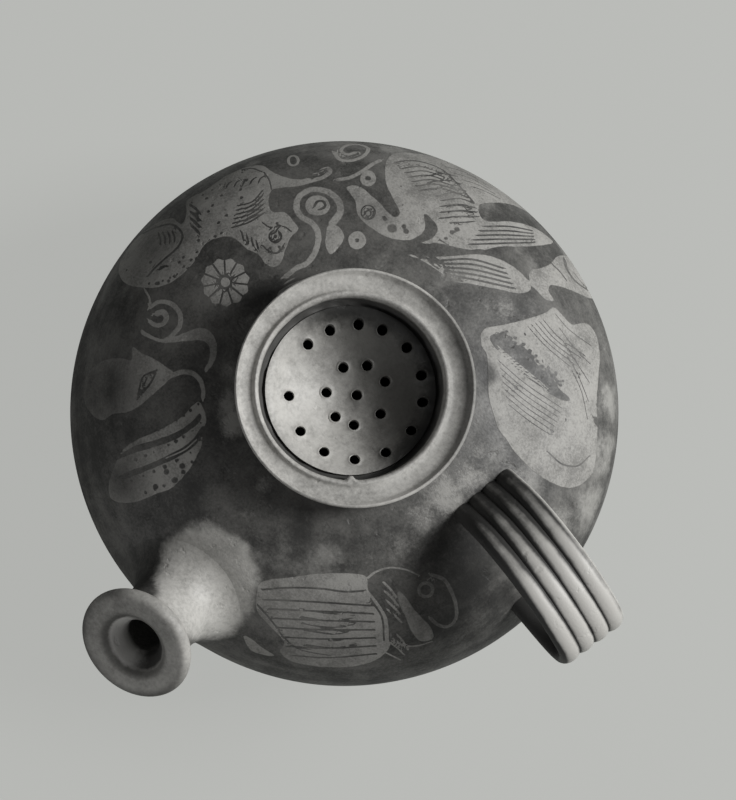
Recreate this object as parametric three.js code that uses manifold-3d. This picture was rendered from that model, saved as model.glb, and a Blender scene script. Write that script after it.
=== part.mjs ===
// A fired-clay puzzle jug: squat body, strainer mouth, trumpet spout and a four-reed loop handle.
// Millimetres, +Z up along the jug's axis, origin on that axis in the plane the foot stands on.
// The spout points along -Y and the handle reaches out towards +X.
import * as THREE from 'three';
import { mergeVertices } from 'three/addons/utils/BufferGeometryUtils.js';
import Module from 'manifold-3d';

const wasm = await Module();
wasm.setup();

// Joints between pieces
const CLEARANCE = 0.3;

// Body: two half ellipses that meet at the belly, held a little off the ground by the foot
const BODY_RADIUS = 80;
const DOME_RISE = 44;
const BOWL_DROP = 41;
const BASE_LIFT = 3;
const WALL = 4.5;
const SEAM_BELOW_BELLY = 8;
const LAP_HEIGHT = 6;

// Foot
const FOOT_OUTER_RADIUS = 36;
const FOOT_WIDTH = 9;
const FOOT_EDGE_HEIGHT = 1.6;
const FOOT_TAPER = 1.2;

// Filling tube that stands on the base inside the body
const FILL_BORE_RADIUS = 6;
const FILL_TUBE_WALL = 2.6;
const FILL_TUBE_RISE = 16;
const FILL_FLANGE_REACH = 5;
const FILL_FLANGE_THICKNESS = 3;

// Neck and lip
const MOUTH_RADIUS = 25.6;
const NECK_WALL = 3.2;
const NECK_HEIGHT = 3.2;
const NECK_FLARE = 2.6;
const SPIGOT_WALL = 2.2;
const LIP_REACH = 8;
const LIP_THICKNESS = 4.6;
const LIP_DISH = 1.9;
const LIP_BEAD = 1.1;

// Strainer
const STRAINER_GROOVE = 1.9;
const STRAINER_THICKNESS = 2.6;
const STRAINER_CURVE_RADIUS = 30;
const STRAINER_SINK = 4.4;
const LEDGE_WIDTH = 1.4;
const HOLE_RADIUS = 1.5;
const HOLE_MARGIN = 4.8;
const HOLE_RING_STEP = 10.2;
// The maker pricked both rings by eye, so they lie off centre and their turns, in degrees, are uneven
const HOLES_OFF_CENTRE = 1.8;
const HOLES_OFF_TURN = 40;
const OUTER_HOLE_TURNS = [5, 31, 54, 82, 107, 128, 153, 175, 223, 256, 282, 309, 336];
const INNER_HOLE_TURNS = [1, 66, 110, 158, 215, 266, 305];

// Spout: its axis leaves the dome at a height above the belly and climbs outwards
const SPOUT_ROOT_RISE = 16.6;
const SPOUT_LENGTH = 27;
const SPOUT_CLIMB = 46;
const SPOUT_LIP_RADIUS = 16.8;
const SPOUT_LIP_THICKNESS = 5;
const SPOUT_LIP_ROUND = 1.1;
const SPOUT_COVE = 3;
const SPOUT_MOUTH_RADIUS = 9.2;
const SPOUT_MOUTH_DEPTH = 8;
const SPOUT_BORE_RADIUS = 5.4;
const SPOUT_TENON_WALL = 2.6;
const SPOUT_TENON_PROUD = 0.8;
const SPOUT_STEM_RADIUS = 11.4;
const SPOUT_STEM_SWELL = 1.8;
const SPOUT_ROOT_RADIUS = 17.6;

// Handle
const REED_COUNT = 4;
const REED_RADIUS = 2.35;
const REED_GAP = 0.3;
const REED_SOCKET = 1.6;
const HANDLE_HEADING = -13.3;
const HANDLE_OFFSET = 13.5;
const HANDLE_NECK_GAP = 10.6;
const HANDLE_CREST_RISE = 17.5;
const HANDLE_CREST_INSET = 17;
const HANDLE_STANDOFF = 13;
const HANDLE_FOOT_RISE = 12;
// Shares of the arch's own spans where its haunch and its two outer bends lie
const HAUNCH_ALONG = 0.4;
const HAUNCH_DROP = 0.25;
const UPPER_BEND_DROP = 0.24;
const LOWER_BEND_RISE = 0.34;

// Fineness of the facets
const BODY_SIDES = 52;
const NECK_SIDES = 44;
const SPOUT_SIDES = 28;
const TUBE_SIDES = 20;
const HOLE_SIDES = 8;
const REED_HALF_SIDES = 5;
const REED_STEPS = 24;
const OUTER_SKIN_STEPS = 11;
const INNER_SKIN_STEPS = 7;
const LIP_STEPS = 18;
const TRUMPET_STEPS = 18;
const DISH_STEPS = 6;
const SEAT_STEPS = 3;

const radians = THREE.MathUtils.degToRad;

// Solids: a geometry becomes a manifold solid once its shared vertices are merged
function solidFrom(geometry) {
  geometry.deleteAttribute('normal');
  geometry.deleteAttribute('uv');
  const merged = mergeVertices(geometry, 1e-4);
  const vertProperties = new Float32Array(merged.attributes.position.array);
  const triVerts = new Uint32Array(merged.index.array);
  const mesh = new wasm.Mesh({ numProp: 3, vertProperties, triVerts });
  mesh.merge();
  return new wasm.Manifold(mesh);
}

function meshFrom(name, solid, material) {
  const { vertProperties, triVerts } = solid.getMesh();
  const geometry = new THREE.BufferGeometry();
  geometry.setAttribute('position', new THREE.BufferAttribute(vertProperties, 3));
  geometry.setIndex(new THREE.BufferAttribute(triVerts, 1));
  geometry.computeVertexNormals();
  const mesh = new THREE.Mesh(geometry, material);
  mesh.name = name;
  return mesh;
}

// A closed outline of [radius, height] pairs, turned once about the Z axis.
// It runs anticlockwise, so that the faces point out.
function revolve(outline, sides) {
  const area = THREE.ShapeUtils.area(outline.map(([x, y]) => new THREE.Vector2(x, y)));
  const ordered = area > 0 ? outline : [...outline].reverse();
  const loop = [...ordered, ordered[0]].map(([x, y]) => new THREE.Vector2(x, y));
  const geometry = new THREE.LatheGeometry(loop, sides);
  geometry.rotateX(Math.PI / 2);
  return solidFrom(geometry);
}

// Points of an outline, from first to last, where f gives [radius, height]
function stretch(count, f) {
  return Array.from({ length: count + 1 }, (_, step) => f(step / count));
}

// A soft curve through a few [radius, height] pairs
function softCurve(knots, count) {
  const curve = new THREE.SplineCurve(knots.map(([x, y]) => new THREE.Vector2(x, y)));
  return curve.getPoints(count).map((point) => [point.x, point.y]);
}

// The body's skin, moved inwards by depth. A turn of 0 is the belly and a quarter turn is the axis,
// up for the dome and down for the bowl.
const bellyHeight = BASE_LIFT + BOWL_DROP;

function reachOf(rise, depth) {
  return (rise > 0 ? DOME_RISE : BOWL_DROP) - depth;
}

function skinPoint(turn, depth) {
  const height = bellyHeight + reachOf(turn, depth) * Math.sin(turn);
  return [(BODY_RADIUS - depth) * Math.cos(turn), height];
}

function turnAtHeight(height, depth) {
  const rise = height - bellyHeight;
  return Math.asin(rise / reachOf(rise, depth));
}

function turnAtRadius(radius, depth) {
  return Math.acos(radius / (BODY_RADIUS - depth));
}

function skinArc(from, to, depth, count) {
  return stretch(count, (t) => skinPoint(from + (to - from) * t, depth));
}

function skinRadius(height, depth = 0) {
  return skinPoint(turnAtHeight(height, depth), depth)[0];
}

function domeHeight(radius, depth = 0) {
  return skinPoint(turnAtRadius(radius, depth), depth)[1];
}

function bowlHeight(radius, depth = 0) {
  return skinPoint(-turnAtRadius(radius, depth), depth)[1];
}

// The whole body as one closed form, used to cut what is scarfed on to it
function bodyForm(depth) {
  return revolve(skinArc(-Math.PI / 2, Math.PI / 2, depth, 2 * OUTER_SKIN_STEPS), BODY_SIDES);
}

const seamHeight = bellyHeight - SEAM_BELOW_BELLY;
const lapTop = seamHeight + LAP_HEIGHT;
const lapDepth = WALL / 2;

// Bowl: the lower half, with a tongue that laps inside the shoulder and a hole in the base
const fillTubeRadius = FILL_BORE_RADIUS + FILL_TUBE_WALL;

function makeBowl() {
  const holeRadius = fillTubeRadius + CLEARANCE;
  const tongueFoot = seamHeight - CLEARANCE;
  const tongueTop = lapTop - CLEARANCE;
  const tongueDepth = lapDepth + CLEARANCE;
  const outside = skinArc(-turnAtRadius(holeRadius, 0), turnAtHeight(tongueFoot, 0), 0, OUTER_SKIN_STEPS);
  const insideEnd = -turnAtRadius(holeRadius, WALL);
  const inside = skinArc(turnAtHeight(tongueTop, WALL), insideEnd, WALL, INNER_SKIN_STEPS);
  const tongue = [
    [skinRadius(tongueFoot, tongueDepth), tongueFoot],
    [skinRadius(tongueTop, tongueDepth), tongueTop],
  ];
  return revolve([...outside, ...tongue, ...inside], BODY_SIDES);
}

// Foot ring: a turned ring whose top follows the bowl
function makeFootRing() {
  const innerRadius = FOOT_OUTER_RADIUS - FOOT_WIDTH;
  const topOuter = FOOT_OUTER_RADIUS - FOOT_TAPER;
  const topInner = innerRadius + FOOT_TAPER;
  const top = stretch(SEAT_STEPS, (t) => {
    const radius = topOuter + (topInner - topOuter) * t;
    return [radius, bowlHeight(radius) - CLEARANCE];
  });
  const outline = [
    [innerRadius, 0],
    [FOOT_OUTER_RADIUS, 0],
    [FOOT_OUTER_RADIUS, FOOT_EDGE_HEIGHT],
    ...top,
    [innerRadius, FOOT_EDGE_HEIGHT],
  ];
  return revolve(outline, NECK_SIDES);
}

// Filling tube: flush with the base outside, with a flange that sits on the bowl's floor
function makeFillingTube() {
  const flangeRadius = fillTubeRadius + FILL_FLANGE_REACH;
  const bottom = bowlHeight(fillTubeRadius + CLEARANCE);
  const seat = (radius) => bowlHeight(radius, WALL) + CLEARANCE;
  const flangeTop = seat(flangeRadius) + FILL_FLANGE_THICKNESS;
  const tubeTop = bellyHeight + FILL_TUBE_RISE;
  const outline = [
    [FILL_BORE_RADIUS, bottom],
    [fillTubeRadius, bottom],
    [fillTubeRadius, seat(fillTubeRadius)],
    [flangeRadius, seat(flangeRadius)],
    [flangeRadius, flangeTop - FILL_FLANGE_THICKNESS / 2],
    [fillTubeRadius, flangeTop],
    [fillTubeRadius, tubeTop],
    [FILL_BORE_RADIUS, tubeTop],
  ];
  return revolve(outline, TUBE_SIDES);
}

// Neck: heights count up from the dome where the collar sits on it
const spigotRadius = MOUTH_RADIUS + SPIGOT_WALL;
const neckRadius = MOUTH_RADIUS + NECK_WALL;
const lipRadius = MOUTH_RADIUS + LIP_REACH;
const seatRadius = neckRadius + NECK_FLARE;
const lipUnder = domeHeight(neckRadius) + CLEARANCE + NECK_HEIGHT;
const lipTop = lipUnder + LIP_THICKNESS;
const strainerRadius = MOUTH_RADIUS - STRAINER_GROOVE;
const strainerEdge = lipTop - STRAINER_SINK;
const strainerCentre = strainerEdge + Math.sqrt(STRAINER_CURVE_RADIUS ** 2 - strainerRadius ** 2);
const spigotBottom = domeHeight(spigotRadius, WALL) - CLEARANCE;

function strainerUnderside(radius, gap = 0) {
  const curve = STRAINER_CURVE_RADIUS + STRAINER_THICKNESS + gap;
  return strainerCentre - Math.sqrt(curve ** 2 - radius ** 2);
}

function makeNeckCollar() {
  const ledgeInner = strainerRadius - LEDGE_WIDTH;
  const ledge = (radius) => strainerUnderside(radius, CLEARANCE);
  const channel = lipTop - LIP_DISH;
  const seat = stretch(SEAT_STEPS, (t) => {
    const radius = seatRadius + (spigotRadius - seatRadius) * t;
    return [radius, domeHeight(radius) + CLEARANCE];
  });
  const lip = softCurve([
    [MOUTH_RADIUS, channel - LIP_BEAD],
    [MOUTH_RADIUS + LIP_BEAD / 2, channel],
    [MOUTH_RADIUS + 1.5 * LIP_BEAD, channel + LIP_BEAD / 4],
    [MOUTH_RADIUS + LIP_REACH / 2, channel],
    [lipRadius - 1.5 * LIP_BEAD, lipTop - LIP_BEAD / 2],
    [lipRadius - 0.7 * LIP_BEAD, lipTop],
    [lipRadius, lipTop - LIP_BEAD],
    [lipRadius - LIP_BEAD / 2, lipTop - LIP_THICKNESS / 2],
    [(lipRadius + neckRadius) / 2, lipUnder + LIP_THICKNESS / 5],
    [neckRadius, lipUnder - NECK_HEIGHT / 3],
    [seatRadius, domeHeight(seatRadius) + 2 * CLEARANCE],
  ], LIP_STEPS);
  const outline = [
    [ledgeInner, spigotBottom],
    [ledgeInner, ledge(ledgeInner)],
    [strainerRadius, ledge(strainerRadius)],
    [MOUTH_RADIUS, ledge(strainerRadius)],
    ...lip,
    ...seat,
    [spigotRadius, spigotBottom],
  ];
  return revolve(outline, NECK_SIDES);
}

// Strainer: a concave dish pricked with a middle hole and two rings of holes
function strainerHole(radius, turn) {
  const length = strainerEdge - strainerUnderside(0) + STRAINER_THICKNESS;
  const drill = new THREE.CylinderGeometry(HOLE_RADIUS, HOLE_RADIUS, length, HOLE_SIDES);
  drill.rotateX(Math.PI / 2);
  const off = radians(HOLES_OFF_TURN);
  const x = radius * Math.cos(turn) + HOLES_OFF_CENTRE * Math.cos(off);
  const y = radius * Math.sin(turn) + HOLES_OFF_CENTRE * Math.sin(off);
  drill.translate(x, y, (strainerEdge + strainerUnderside(0)) / 2);
  return solidFrom(drill);
}

function makeStrainer() {
  const dish = stretch(DISH_STEPS, (t) => {
    const radius = strainerRadius * t;
    return [radius, strainerCentre - Math.sqrt(STRAINER_CURVE_RADIUS ** 2 - radius ** 2)];
  });
  const underside = stretch(DISH_STEPS, (t) => {
    const radius = strainerRadius * (1 - t);
    return [radius, strainerUnderside(radius)];
  });
  let pierced = revolve([...underside, ...dish], NECK_SIDES).subtract(strainerHole(0, 0));
  [OUTER_HOLE_TURNS, INNER_HOLE_TURNS].forEach((turns, index) => {
    const radius = strainerRadius - HOLE_MARGIN - index * HOLE_RING_STEP;
    turns.forEach((turn) => {
      pierced = pierced.subtract(strainerHole(radius, radians(turn)));
    });
  });
  return pierced;
}

// Spout: drawn about its own axis, with stations counted back from the lip's face to the dome
const climb = radians(SPOUT_CLIMB);
const spoutAxis = new THREE.Vector3(0, -Math.cos(climb), Math.sin(climb));
const spoutRootHeight = bellyHeight + SPOUT_ROOT_RISE;
const spoutRoot = new THREE.Vector3(0, -skinRadius(spoutRootHeight), spoutRootHeight);
const spoutMouth = spoutRoot.clone().addScaledVector(spoutAxis, SPOUT_LENGTH);
const tenonRadius = SPOUT_BORE_RADIUS + SPOUT_TENON_WALL;

// How far the tenon reaches back to stand proud of the wall's inner face
const wallNormal = new THREE.Vector3(0, spoutRoot.y / BODY_RADIUS ** 2, SPOUT_ROOT_RISE / DOME_RISE ** 2);
const tenonEnd = SPOUT_LENGTH + WALL / spoutAxis.dot(wallNormal.normalize()) + SPOUT_TENON_PROUD;

function onSpoutAxis(outline) {
  const toAxis = new THREE.Quaternion().setFromUnitVectors(new THREE.Vector3(0, 0, 1), spoutAxis);
  const place = new THREE.Matrix4().compose(spoutMouth, toAxis, new THREE.Vector3(1, 1, 1));
  return revolve(outline, SPOUT_SIDES).transform(place.elements);
}

function spoutRod(radius, from, to) {
  return onSpoutAxis([[0, from], [radius, from], [radius, to], [0, to]]);
}

function makeSpout(cutter) {
  const stemStart = -SPOUT_LIP_THICKNESS - SPOUT_COVE;
  const root = -SPOUT_LENGTH;
  const buried = root - SPOUT_ROOT_RADIUS;
  const outside = softCurve([
    [(SPOUT_MOUTH_RADIUS + SPOUT_LIP_RADIUS) / 2, 0],
    [SPOUT_LIP_RADIUS - SPOUT_LIP_ROUND, -SPOUT_LIP_ROUND / 4],
    [SPOUT_LIP_RADIUS, -SPOUT_LIP_THICKNESS / 2],
    [SPOUT_LIP_RADIUS - SPOUT_LIP_ROUND, -SPOUT_LIP_THICKNESS],
    [SPOUT_STEM_RADIUS, stemStart],
    [SPOUT_STEM_RADIUS + SPOUT_STEM_SWELL, (stemStart + root) / 2],
    [SPOUT_ROOT_RADIUS, root - SPOUT_LIP_ROUND],
    [SPOUT_ROOT_RADIUS, buried],
  ], TRUMPET_STEPS);
  const trumpet = onSpoutAxis([[0, buried], [0, 0], ...outside]);
  const funnelMiddle = (SPOUT_MOUTH_RADIUS + SPOUT_BORE_RADIUS) / 2;
  const mouth = onSpoutAxis([
    [0, SPOUT_LIP_ROUND],
    [SPOUT_MOUTH_RADIUS + SPOUT_LIP_ROUND, SPOUT_LIP_ROUND],
    [SPOUT_MOUTH_RADIUS, -SPOUT_LIP_ROUND],
    [funnelMiddle + SPOUT_LIP_ROUND / 2, -SPOUT_MOUTH_DEPTH / 2],
    [SPOUT_BORE_RADIUS, -SPOUT_MOUTH_DEPTH],
    [0, -SPOUT_MOUTH_DEPTH],
  ]);
  const tenon = spoutRod(tenonRadius, -tenonEnd, stemStart);
  const bore = spoutRod(SPOUT_BORE_RADIUS, -tenonEnd - WALL, SPOUT_LIP_ROUND - SPOUT_MOUTH_DEPTH);
  return trumpet.subtract(cutter).add(tenon).subtract(bore).subtract(mouth);
}

// Handle: every reed follows the same arch, side by side in planes turned away from the radius
const heading = new THREE.Vector3(Math.cos(radians(HANDLE_HEADING)), Math.sin(radians(HANDLE_HEADING)), 0);
const sideways = new THREE.Vector3(-heading.y, heading.x, 0);

function archPoint(reach, height, offset) {
  return heading.clone().multiplyScalar(reach).addScaledVector(sideways, offset).setZ(height);
}

function archCurve(offset) {
  const springReach = lipRadius + HANDLE_NECK_GAP;
  const springHeight = domeHeight(Math.hypot(springReach, HANDLE_OFFSET));
  const outReach = BODY_RADIUS + HANDLE_STANDOFF;
  const crestReach = outReach - HANDLE_CREST_INSET;
  const crestHeight = springHeight + HANDLE_CREST_RISE;
  const footHeight = bellyHeight + HANDLE_FOOT_RISE;
  const footReach = Math.sqrt(skinRadius(footHeight) ** 2 - HANDLE_OFFSET ** 2);
  const fall = crestHeight - footHeight;
  const buried = WALL + 2 * REED_RADIUS;
  const knots = [
    [springReach - buried / 2, springHeight - buried],
    [springReach + HAUNCH_ALONG * (crestReach - springReach), crestHeight - HAUNCH_DROP * HANDLE_CREST_RISE],
    [crestReach, crestHeight],
    [outReach, crestHeight - UPPER_BEND_DROP * fall],
    [outReach, footHeight + LOWER_BEND_RISE * fall],
    [footReach - WALL, footHeight],
  ];
  const points = knots.map(([reach, height]) => archPoint(reach, height, offset));
  return new THREE.CatmullRomCurve3(points);
}

function reedRod(offset, radius) {
  const section = new THREE.Shape().absarc(0, 0, radius, 0, 2 * Math.PI);
  const options = { extrudePath: archCurve(offset), steps: REED_STEPS, curveSegments: REED_HALF_SIDES };
  return solidFrom(new THREE.ExtrudeGeometry(section, options));
}

function reedOffset(index) {
  const pitch = 2 * REED_RADIUS + REED_GAP;
  return HANDLE_OFFSET + (index - (REED_COUNT - 1) / 2) * pitch;
}

// Shoulder: the upper half, with the lap, the neck opening, the spout hole and the reeds' sockets
function makeShoulder(sockets) {
  const holeRadius = spigotRadius + CLEARANCE;
  const outside = skinArc(turnAtHeight(seamHeight, 0), turnAtRadius(holeRadius, 0), 0, OUTER_SKIN_STEPS);
  const inside = skinArc(turnAtRadius(holeRadius, WALL), turnAtHeight(lapTop, WALL), WALL, INNER_SKIN_STEPS);
  const lap = [
    [skinRadius(lapTop, lapDepth), lapTop],
    [skinRadius(seamHeight, lapDepth), seamHeight],
  ];
  const shell = revolve([...outside, ...inside, ...lap], BODY_SIDES);
  const spoutHole = spoutRod(tenonRadius + CLEARANCE, -tenonEnd - WALL, 0);
  return sockets.reduce((solid, socket) => solid.subtract(socket), shell.subtract(spoutHole));
}

// Finishes: dark slip on the body, paler worn clay on the mouth, spout and handle
function clay(shade, roughness) {
  return new THREE.MeshStandardMaterial({ color: shade, roughness, metalness: 0 });
}

const slip = clay(0x4a4842, 0.7);
const paleClay = clay(0xa19f97, 0.8);
const wornClay = clay(0x8b8982, 0.78);
const insideClay = clay(0x77756e, 0.9);

const reeds = [];
const sockets = [];
const reedCutter = bodyForm(REED_SOCKET);
const socketCutter = bodyForm(REED_SOCKET + CLEARANCE);
for (let index = 0; index < REED_COUNT; index += 1) {
  const offset = reedOffset(index);
  const rod = reedRod(offset, REED_RADIUS).subtract(reedCutter);
  reeds.push(meshFrom(`handle_reed_${index + 1}`, rod, wornClay));
  sockets.push(reedRod(offset, REED_RADIUS + CLEARANCE).subtract(socketCutter));
}

const jug = new THREE.Group();
jug.add(
  meshFrom('foot_ring', makeFootRing(), insideClay),
  meshFrom('bowl', makeBowl(), slip),
  meshFrom('filling_tube', makeFillingTube(), insideClay),
  meshFrom('shoulder', makeShoulder(sockets), slip),
  meshFrom('neck_collar', makeNeckCollar(), paleClay),
  meshFrom('strainer', makeStrainer(), paleClay),
  meshFrom('spout', makeSpout(bodyForm(-CLEARANCE)), paleClay),
  ...reeds,
);

export default jug;
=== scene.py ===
import math

import bmesh
import bpy
import numpy as np
from mathutils import Matrix, Vector, geometry, noise


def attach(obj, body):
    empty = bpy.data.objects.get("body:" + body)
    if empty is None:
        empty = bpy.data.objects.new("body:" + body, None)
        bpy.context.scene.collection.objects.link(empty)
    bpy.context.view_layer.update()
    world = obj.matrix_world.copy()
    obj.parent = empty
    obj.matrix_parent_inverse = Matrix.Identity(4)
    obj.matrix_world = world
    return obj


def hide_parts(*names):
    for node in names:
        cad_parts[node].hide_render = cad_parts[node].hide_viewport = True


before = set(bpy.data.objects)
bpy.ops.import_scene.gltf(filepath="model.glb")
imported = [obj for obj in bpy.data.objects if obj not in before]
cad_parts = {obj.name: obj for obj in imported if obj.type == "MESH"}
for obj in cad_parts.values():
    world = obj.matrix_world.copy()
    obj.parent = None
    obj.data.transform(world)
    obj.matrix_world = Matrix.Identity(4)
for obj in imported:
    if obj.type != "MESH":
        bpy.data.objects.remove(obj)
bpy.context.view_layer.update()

# View: the jug is seen from almost straight above its mouth, a little from the spout's side.
# The camera stands 0.9 m off, which makes the near neck and handle as large as they look.
# The picture is 736 pixels wide and 800 high.
PICTURE = (736, 800)
PICTURE_TURN = math.radians(40.2)
VIEW_TILT = math.radians(7.8)
VIEW_SIDE = math.radians(-2.0)
VIEW_DISTANCE = 0.9
FOCAL_PIXELS = 3087
SENSOR = 36.0
BELLY_HEIGHT = 0.044
AIM_RIGHT = 0.0067
AIM_UP = 0.00335

picture_right = Vector((math.cos(PICTURE_TURN), math.sin(PICTURE_TURN), 0))
picture_up = Vector((-math.sin(PICTURE_TURN), math.cos(PICTURE_TURN), 0))
straight_up = Vector((0, 0, 1))
belly_middle = Vector((0, 0, BELLY_HEIGHT))
view_back = picture_right * math.sin(VIEW_SIDE)
view_back -= picture_up * math.sin(VIEW_TILT) * math.cos(VIEW_SIDE)
view_back += straight_up * math.cos(VIEW_TILT) * math.cos(VIEW_SIDE)
camera_place = belly_middle + view_back * VIEW_DISTANCE
view_aim = belly_middle + picture_right * AIM_RIGHT + picture_up * AIM_UP
view_forward = (view_aim - camera_place).normalized()
view_right = view_forward.cross(picture_up).normalized()
view_up = view_right.cross(view_forward)

camera = bpy.data.objects.new("camera", bpy.data.cameras.new("camera"))
camera.data.sensor_width = SENSOR
camera.data.lens = SENSOR * FOCAL_PIXELS / max(PICTURE)
camera_turn = Matrix((view_right, view_up, -view_forward)).transposed()
camera.matrix_world = Matrix.Translation(camera_place) @ camera_turn.to_4x4()
bpy.context.scene.collection.objects.link(camera)
bpy.context.scene.camera = camera


# Bowl: the lower half of the thrown body, of dark-slipped clay about 4.5 mm thick.
# Its rim carries a tongue that laps inside the shoulder, and its base is pierced for the filling tube.
BODY_RADIUS = 0.080
DOME_RISE = 0.044
BOWL_DROP = 0.041
WALL = 0.0045
SEAM_HEIGHT = 0.036
LAP_TOP = 0.042
LAP_DEPTH = WALL / 2
BASE_HOLE = 0.0089
BODY_STEPS = 640
BOWL_ROWS = 40
INSIDE_ROWS = 10
WOBBLE = 0.00035
WOBBLE_SCALE = 22
SHARP_EDGE = math.radians(40)
# Burnished slip, from its darkest to where handling has thinned it
SLIP_DARK = (0.036, 0.0355, 0.0335, 1)
SLIP_LIGHT = (0.150, 0.147, 0.138, 1)


def body_point(turn, depth):
    """A point of the body's skin, moved in by depth. Turn 0 is the belly and a quarter turn up is the axis."""
    rise = DOME_RISE if turn > 0 else BOWL_DROP
    radius = (BODY_RADIUS - depth) * math.cos(turn)
    return (radius, BELLY_HEIGHT + (rise - depth) * math.sin(turn))


def turn_at_height(height, depth):
    rise = height - BELLY_HEIGHT
    return math.asin(rise / ((DOME_RISE if rise > 0 else BOWL_DROP) - depth))


def turn_at_radius(radius, depth):
    return math.acos(radius / (BODY_RADIUS - depth))


def body_arc(start, end, depth, rows):
    return [body_point(start + (end - start) * row / rows, depth) for row in range(rows + 1)]


def spun(outline, steps):
    """A closed outline of (radius, height) pairs, turned once about the jug's axis."""
    bm = bmesh.new()
    corners = [bm.verts.new((radius, 0, height)) for radius, height in outline]
    edges = [bm.edges.new((corners[i - 1], corners[i])) for i in range(len(corners))]
    bmesh.ops.spin(bm, geom=corners + edges, cent=(0, 0, 0), axis=(0, 0, 1),
                   angle=2 * math.pi, steps=steps, use_merge=True)
    bmesh.ops.remove_doubles(bm, verts=bm.verts, dist=1e-6)
    bmesh.ops.recalc_face_normals(bm, faces=bm.faces)
    return bm


def hand_made(bm, depth, scale):
    """Lets a turned form swell and sink a little, never outwards past its true size."""
    for vert in bm.verts:
        out = Vector((vert.co.x, vert.co.y, 0))
        if out.length > 1e-6:
            swell = noise.noise(vert.co * scale) - 1
            vert.co += out.normalized() * swell * depth / 2


def shown(name, bm, material):
    """A finished mesh as a piece of the jug, smooth but for its sharp edges."""
    for face in bm.faces:
        face.smooth = True
    for edge in bm.edges:
        edge.smooth = not (edge.is_manifold and edge.calc_face_angle() > SHARP_EDGE)
    mesh = bpy.data.meshes.new(name)
    bm.to_mesh(mesh)
    bm.free()
    mesh.materials.append(material)
    piece = bpy.data.objects.new(name, mesh)
    bpy.context.scene.collection.objects.link(piece)
    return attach(piece, "root")


class Value:
    """A socket of a finish. Plain sums on it add Math nodes."""

    def __init__(self, tree, socket):
        self.tree = tree
        self.socket = socket

    def node(self, kind, settings, inputs, output=0):
        """Any node: its settings go in first, then the values or links of its sockets."""
        made = self.tree.nodes.new(kind)
        for name, setting in settings.items():
            setattr(made, name, setting)
        for name, given in inputs.items():
            if isinstance(given, Value):
                self.tree.links.new(given.socket, made.inputs[name])
            else:
                made.inputs[name].default_value = given
        return Value(self.tree, made.outputs[output])

    def math(self, operation, first, second):
        return self.node("ShaderNodeMath", {"operation": operation}, {0: first, 1: second})

    def __add__(self, other):
        return self.math("ADD", self, other)

    def __radd__(self, other):
        return self.math("ADD", other, self)

    def __sub__(self, other):
        return self.math("SUBTRACT", self, other)

    def __rsub__(self, other):
        return self.math("SUBTRACT", other, self)

    def __mul__(self, other):
        return self.math("MULTIPLY", self, other)

    def __rmul__(self, other):
        return self.math("MULTIPLY", other, self)

    def __abs__(self):
        return self.math("ABSOLUTE", self, 0)

    def larger(self, other):
        return self.math("MAXIMUM", self, other)

    def eased(self, low, high):
        """0 at low and 1 at high, eased in between."""
        return self.node("ShaderNodeMapRange", {"interpolation_type": "SMOOTHSTEP"},
                         {"Value": self, "From Min": low, "From Max": high})

    def grain(self, scale, detail, roughness=0.5, stretch=None):
        """Cloudy noise read at this place."""
        place = self
        if stretch:
            place = self.node("ShaderNodeMapping", {}, {"Vector": self, "Scale": stretch})
        return self.node("ShaderNodeTexNoise", {},
                         {"Vector": place, "Scale": scale, "Detail": detail, "Roughness": roughness})

    def colour(self, first, second):
        """The first colour where this is 0 and the second where it is 1."""
        return self.node("ShaderNodeMix", {"data_type": "RGBA"}, {0: self, 6: first, 7: second}, 2)

    def named(self, attribute):
        return self.node("ShaderNodeAttribute", {"attribute_name": attribute}, {}, "Fac")

    def along(self, direction):
        """How far this place lies along a direction."""
        return self.node("ShaderNodeVectorMath", {"operation": "DOT_PRODUCT"}, {0: self, 1: direction}, "Value")

    def bump(self, depth):
        """A surface that stands up by depth where this is 1."""
        return self.node("ShaderNodeBump", {}, {"Height": self, "Distance": depth, "Strength": 1.0}, "Normal")

    def into(self, socket):
        self.tree.links.new(self.socket, socket)


def new_finish(name):
    """A new material, its shader and the place on the piece that its pattern reads."""
    material = bpy.data.materials.new(name)
    material.use_nodes = True
    tree = material.node_tree
    place = tree.nodes.new("ShaderNodeTexCoord")
    return material, tree.nodes["Principled BSDF"], Value(tree, place.outputs["Object"])


def slip_ground(place):
    """Dark slip: brushed on in turns, clouded by the fire and rubbed thin in spots."""
    cloud = place.grain(38, 4, 0.6)
    turns = place.grain(30, 3, 0.6, stretch=(1, 1, 9))
    mottle = place.grain(120, 6, 0.72)
    speck = place.grain(1300, 3, 0.7)
    rubbed = (0.3 * cloud + 0.2 * turns + 0.3 * mottle + 0.2 * speck).eased(0.40, 0.62)
    return rubbed.colour(SLIP_DARK, SLIP_LIGHT), rubbed


def slip_surface(place):
    """Faint turning rings, brush drag and the grit of the clay, as one height."""
    rings = place.grain(60, 2, stretch=(0.15, 0.15, 6))
    pits = place.grain(260, 3).eased(0.62, 0.75)
    grit = place.grain(1400, 2)
    return 0.5 * rings - 0.35 * pits + 0.15 * grit


slip_finish, slip_shader, slip_place = new_finish("dark_slip")
slip_colour, slip_rubbed = slip_ground(slip_place)
slip_colour.into(slip_shader.inputs["Base Color"])
(0.62 - 0.16 * slip_rubbed).into(slip_shader.inputs["Roughness"])
slip_surface(slip_place).bump(0.00035).into(slip_shader.inputs["Normal"])

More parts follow.
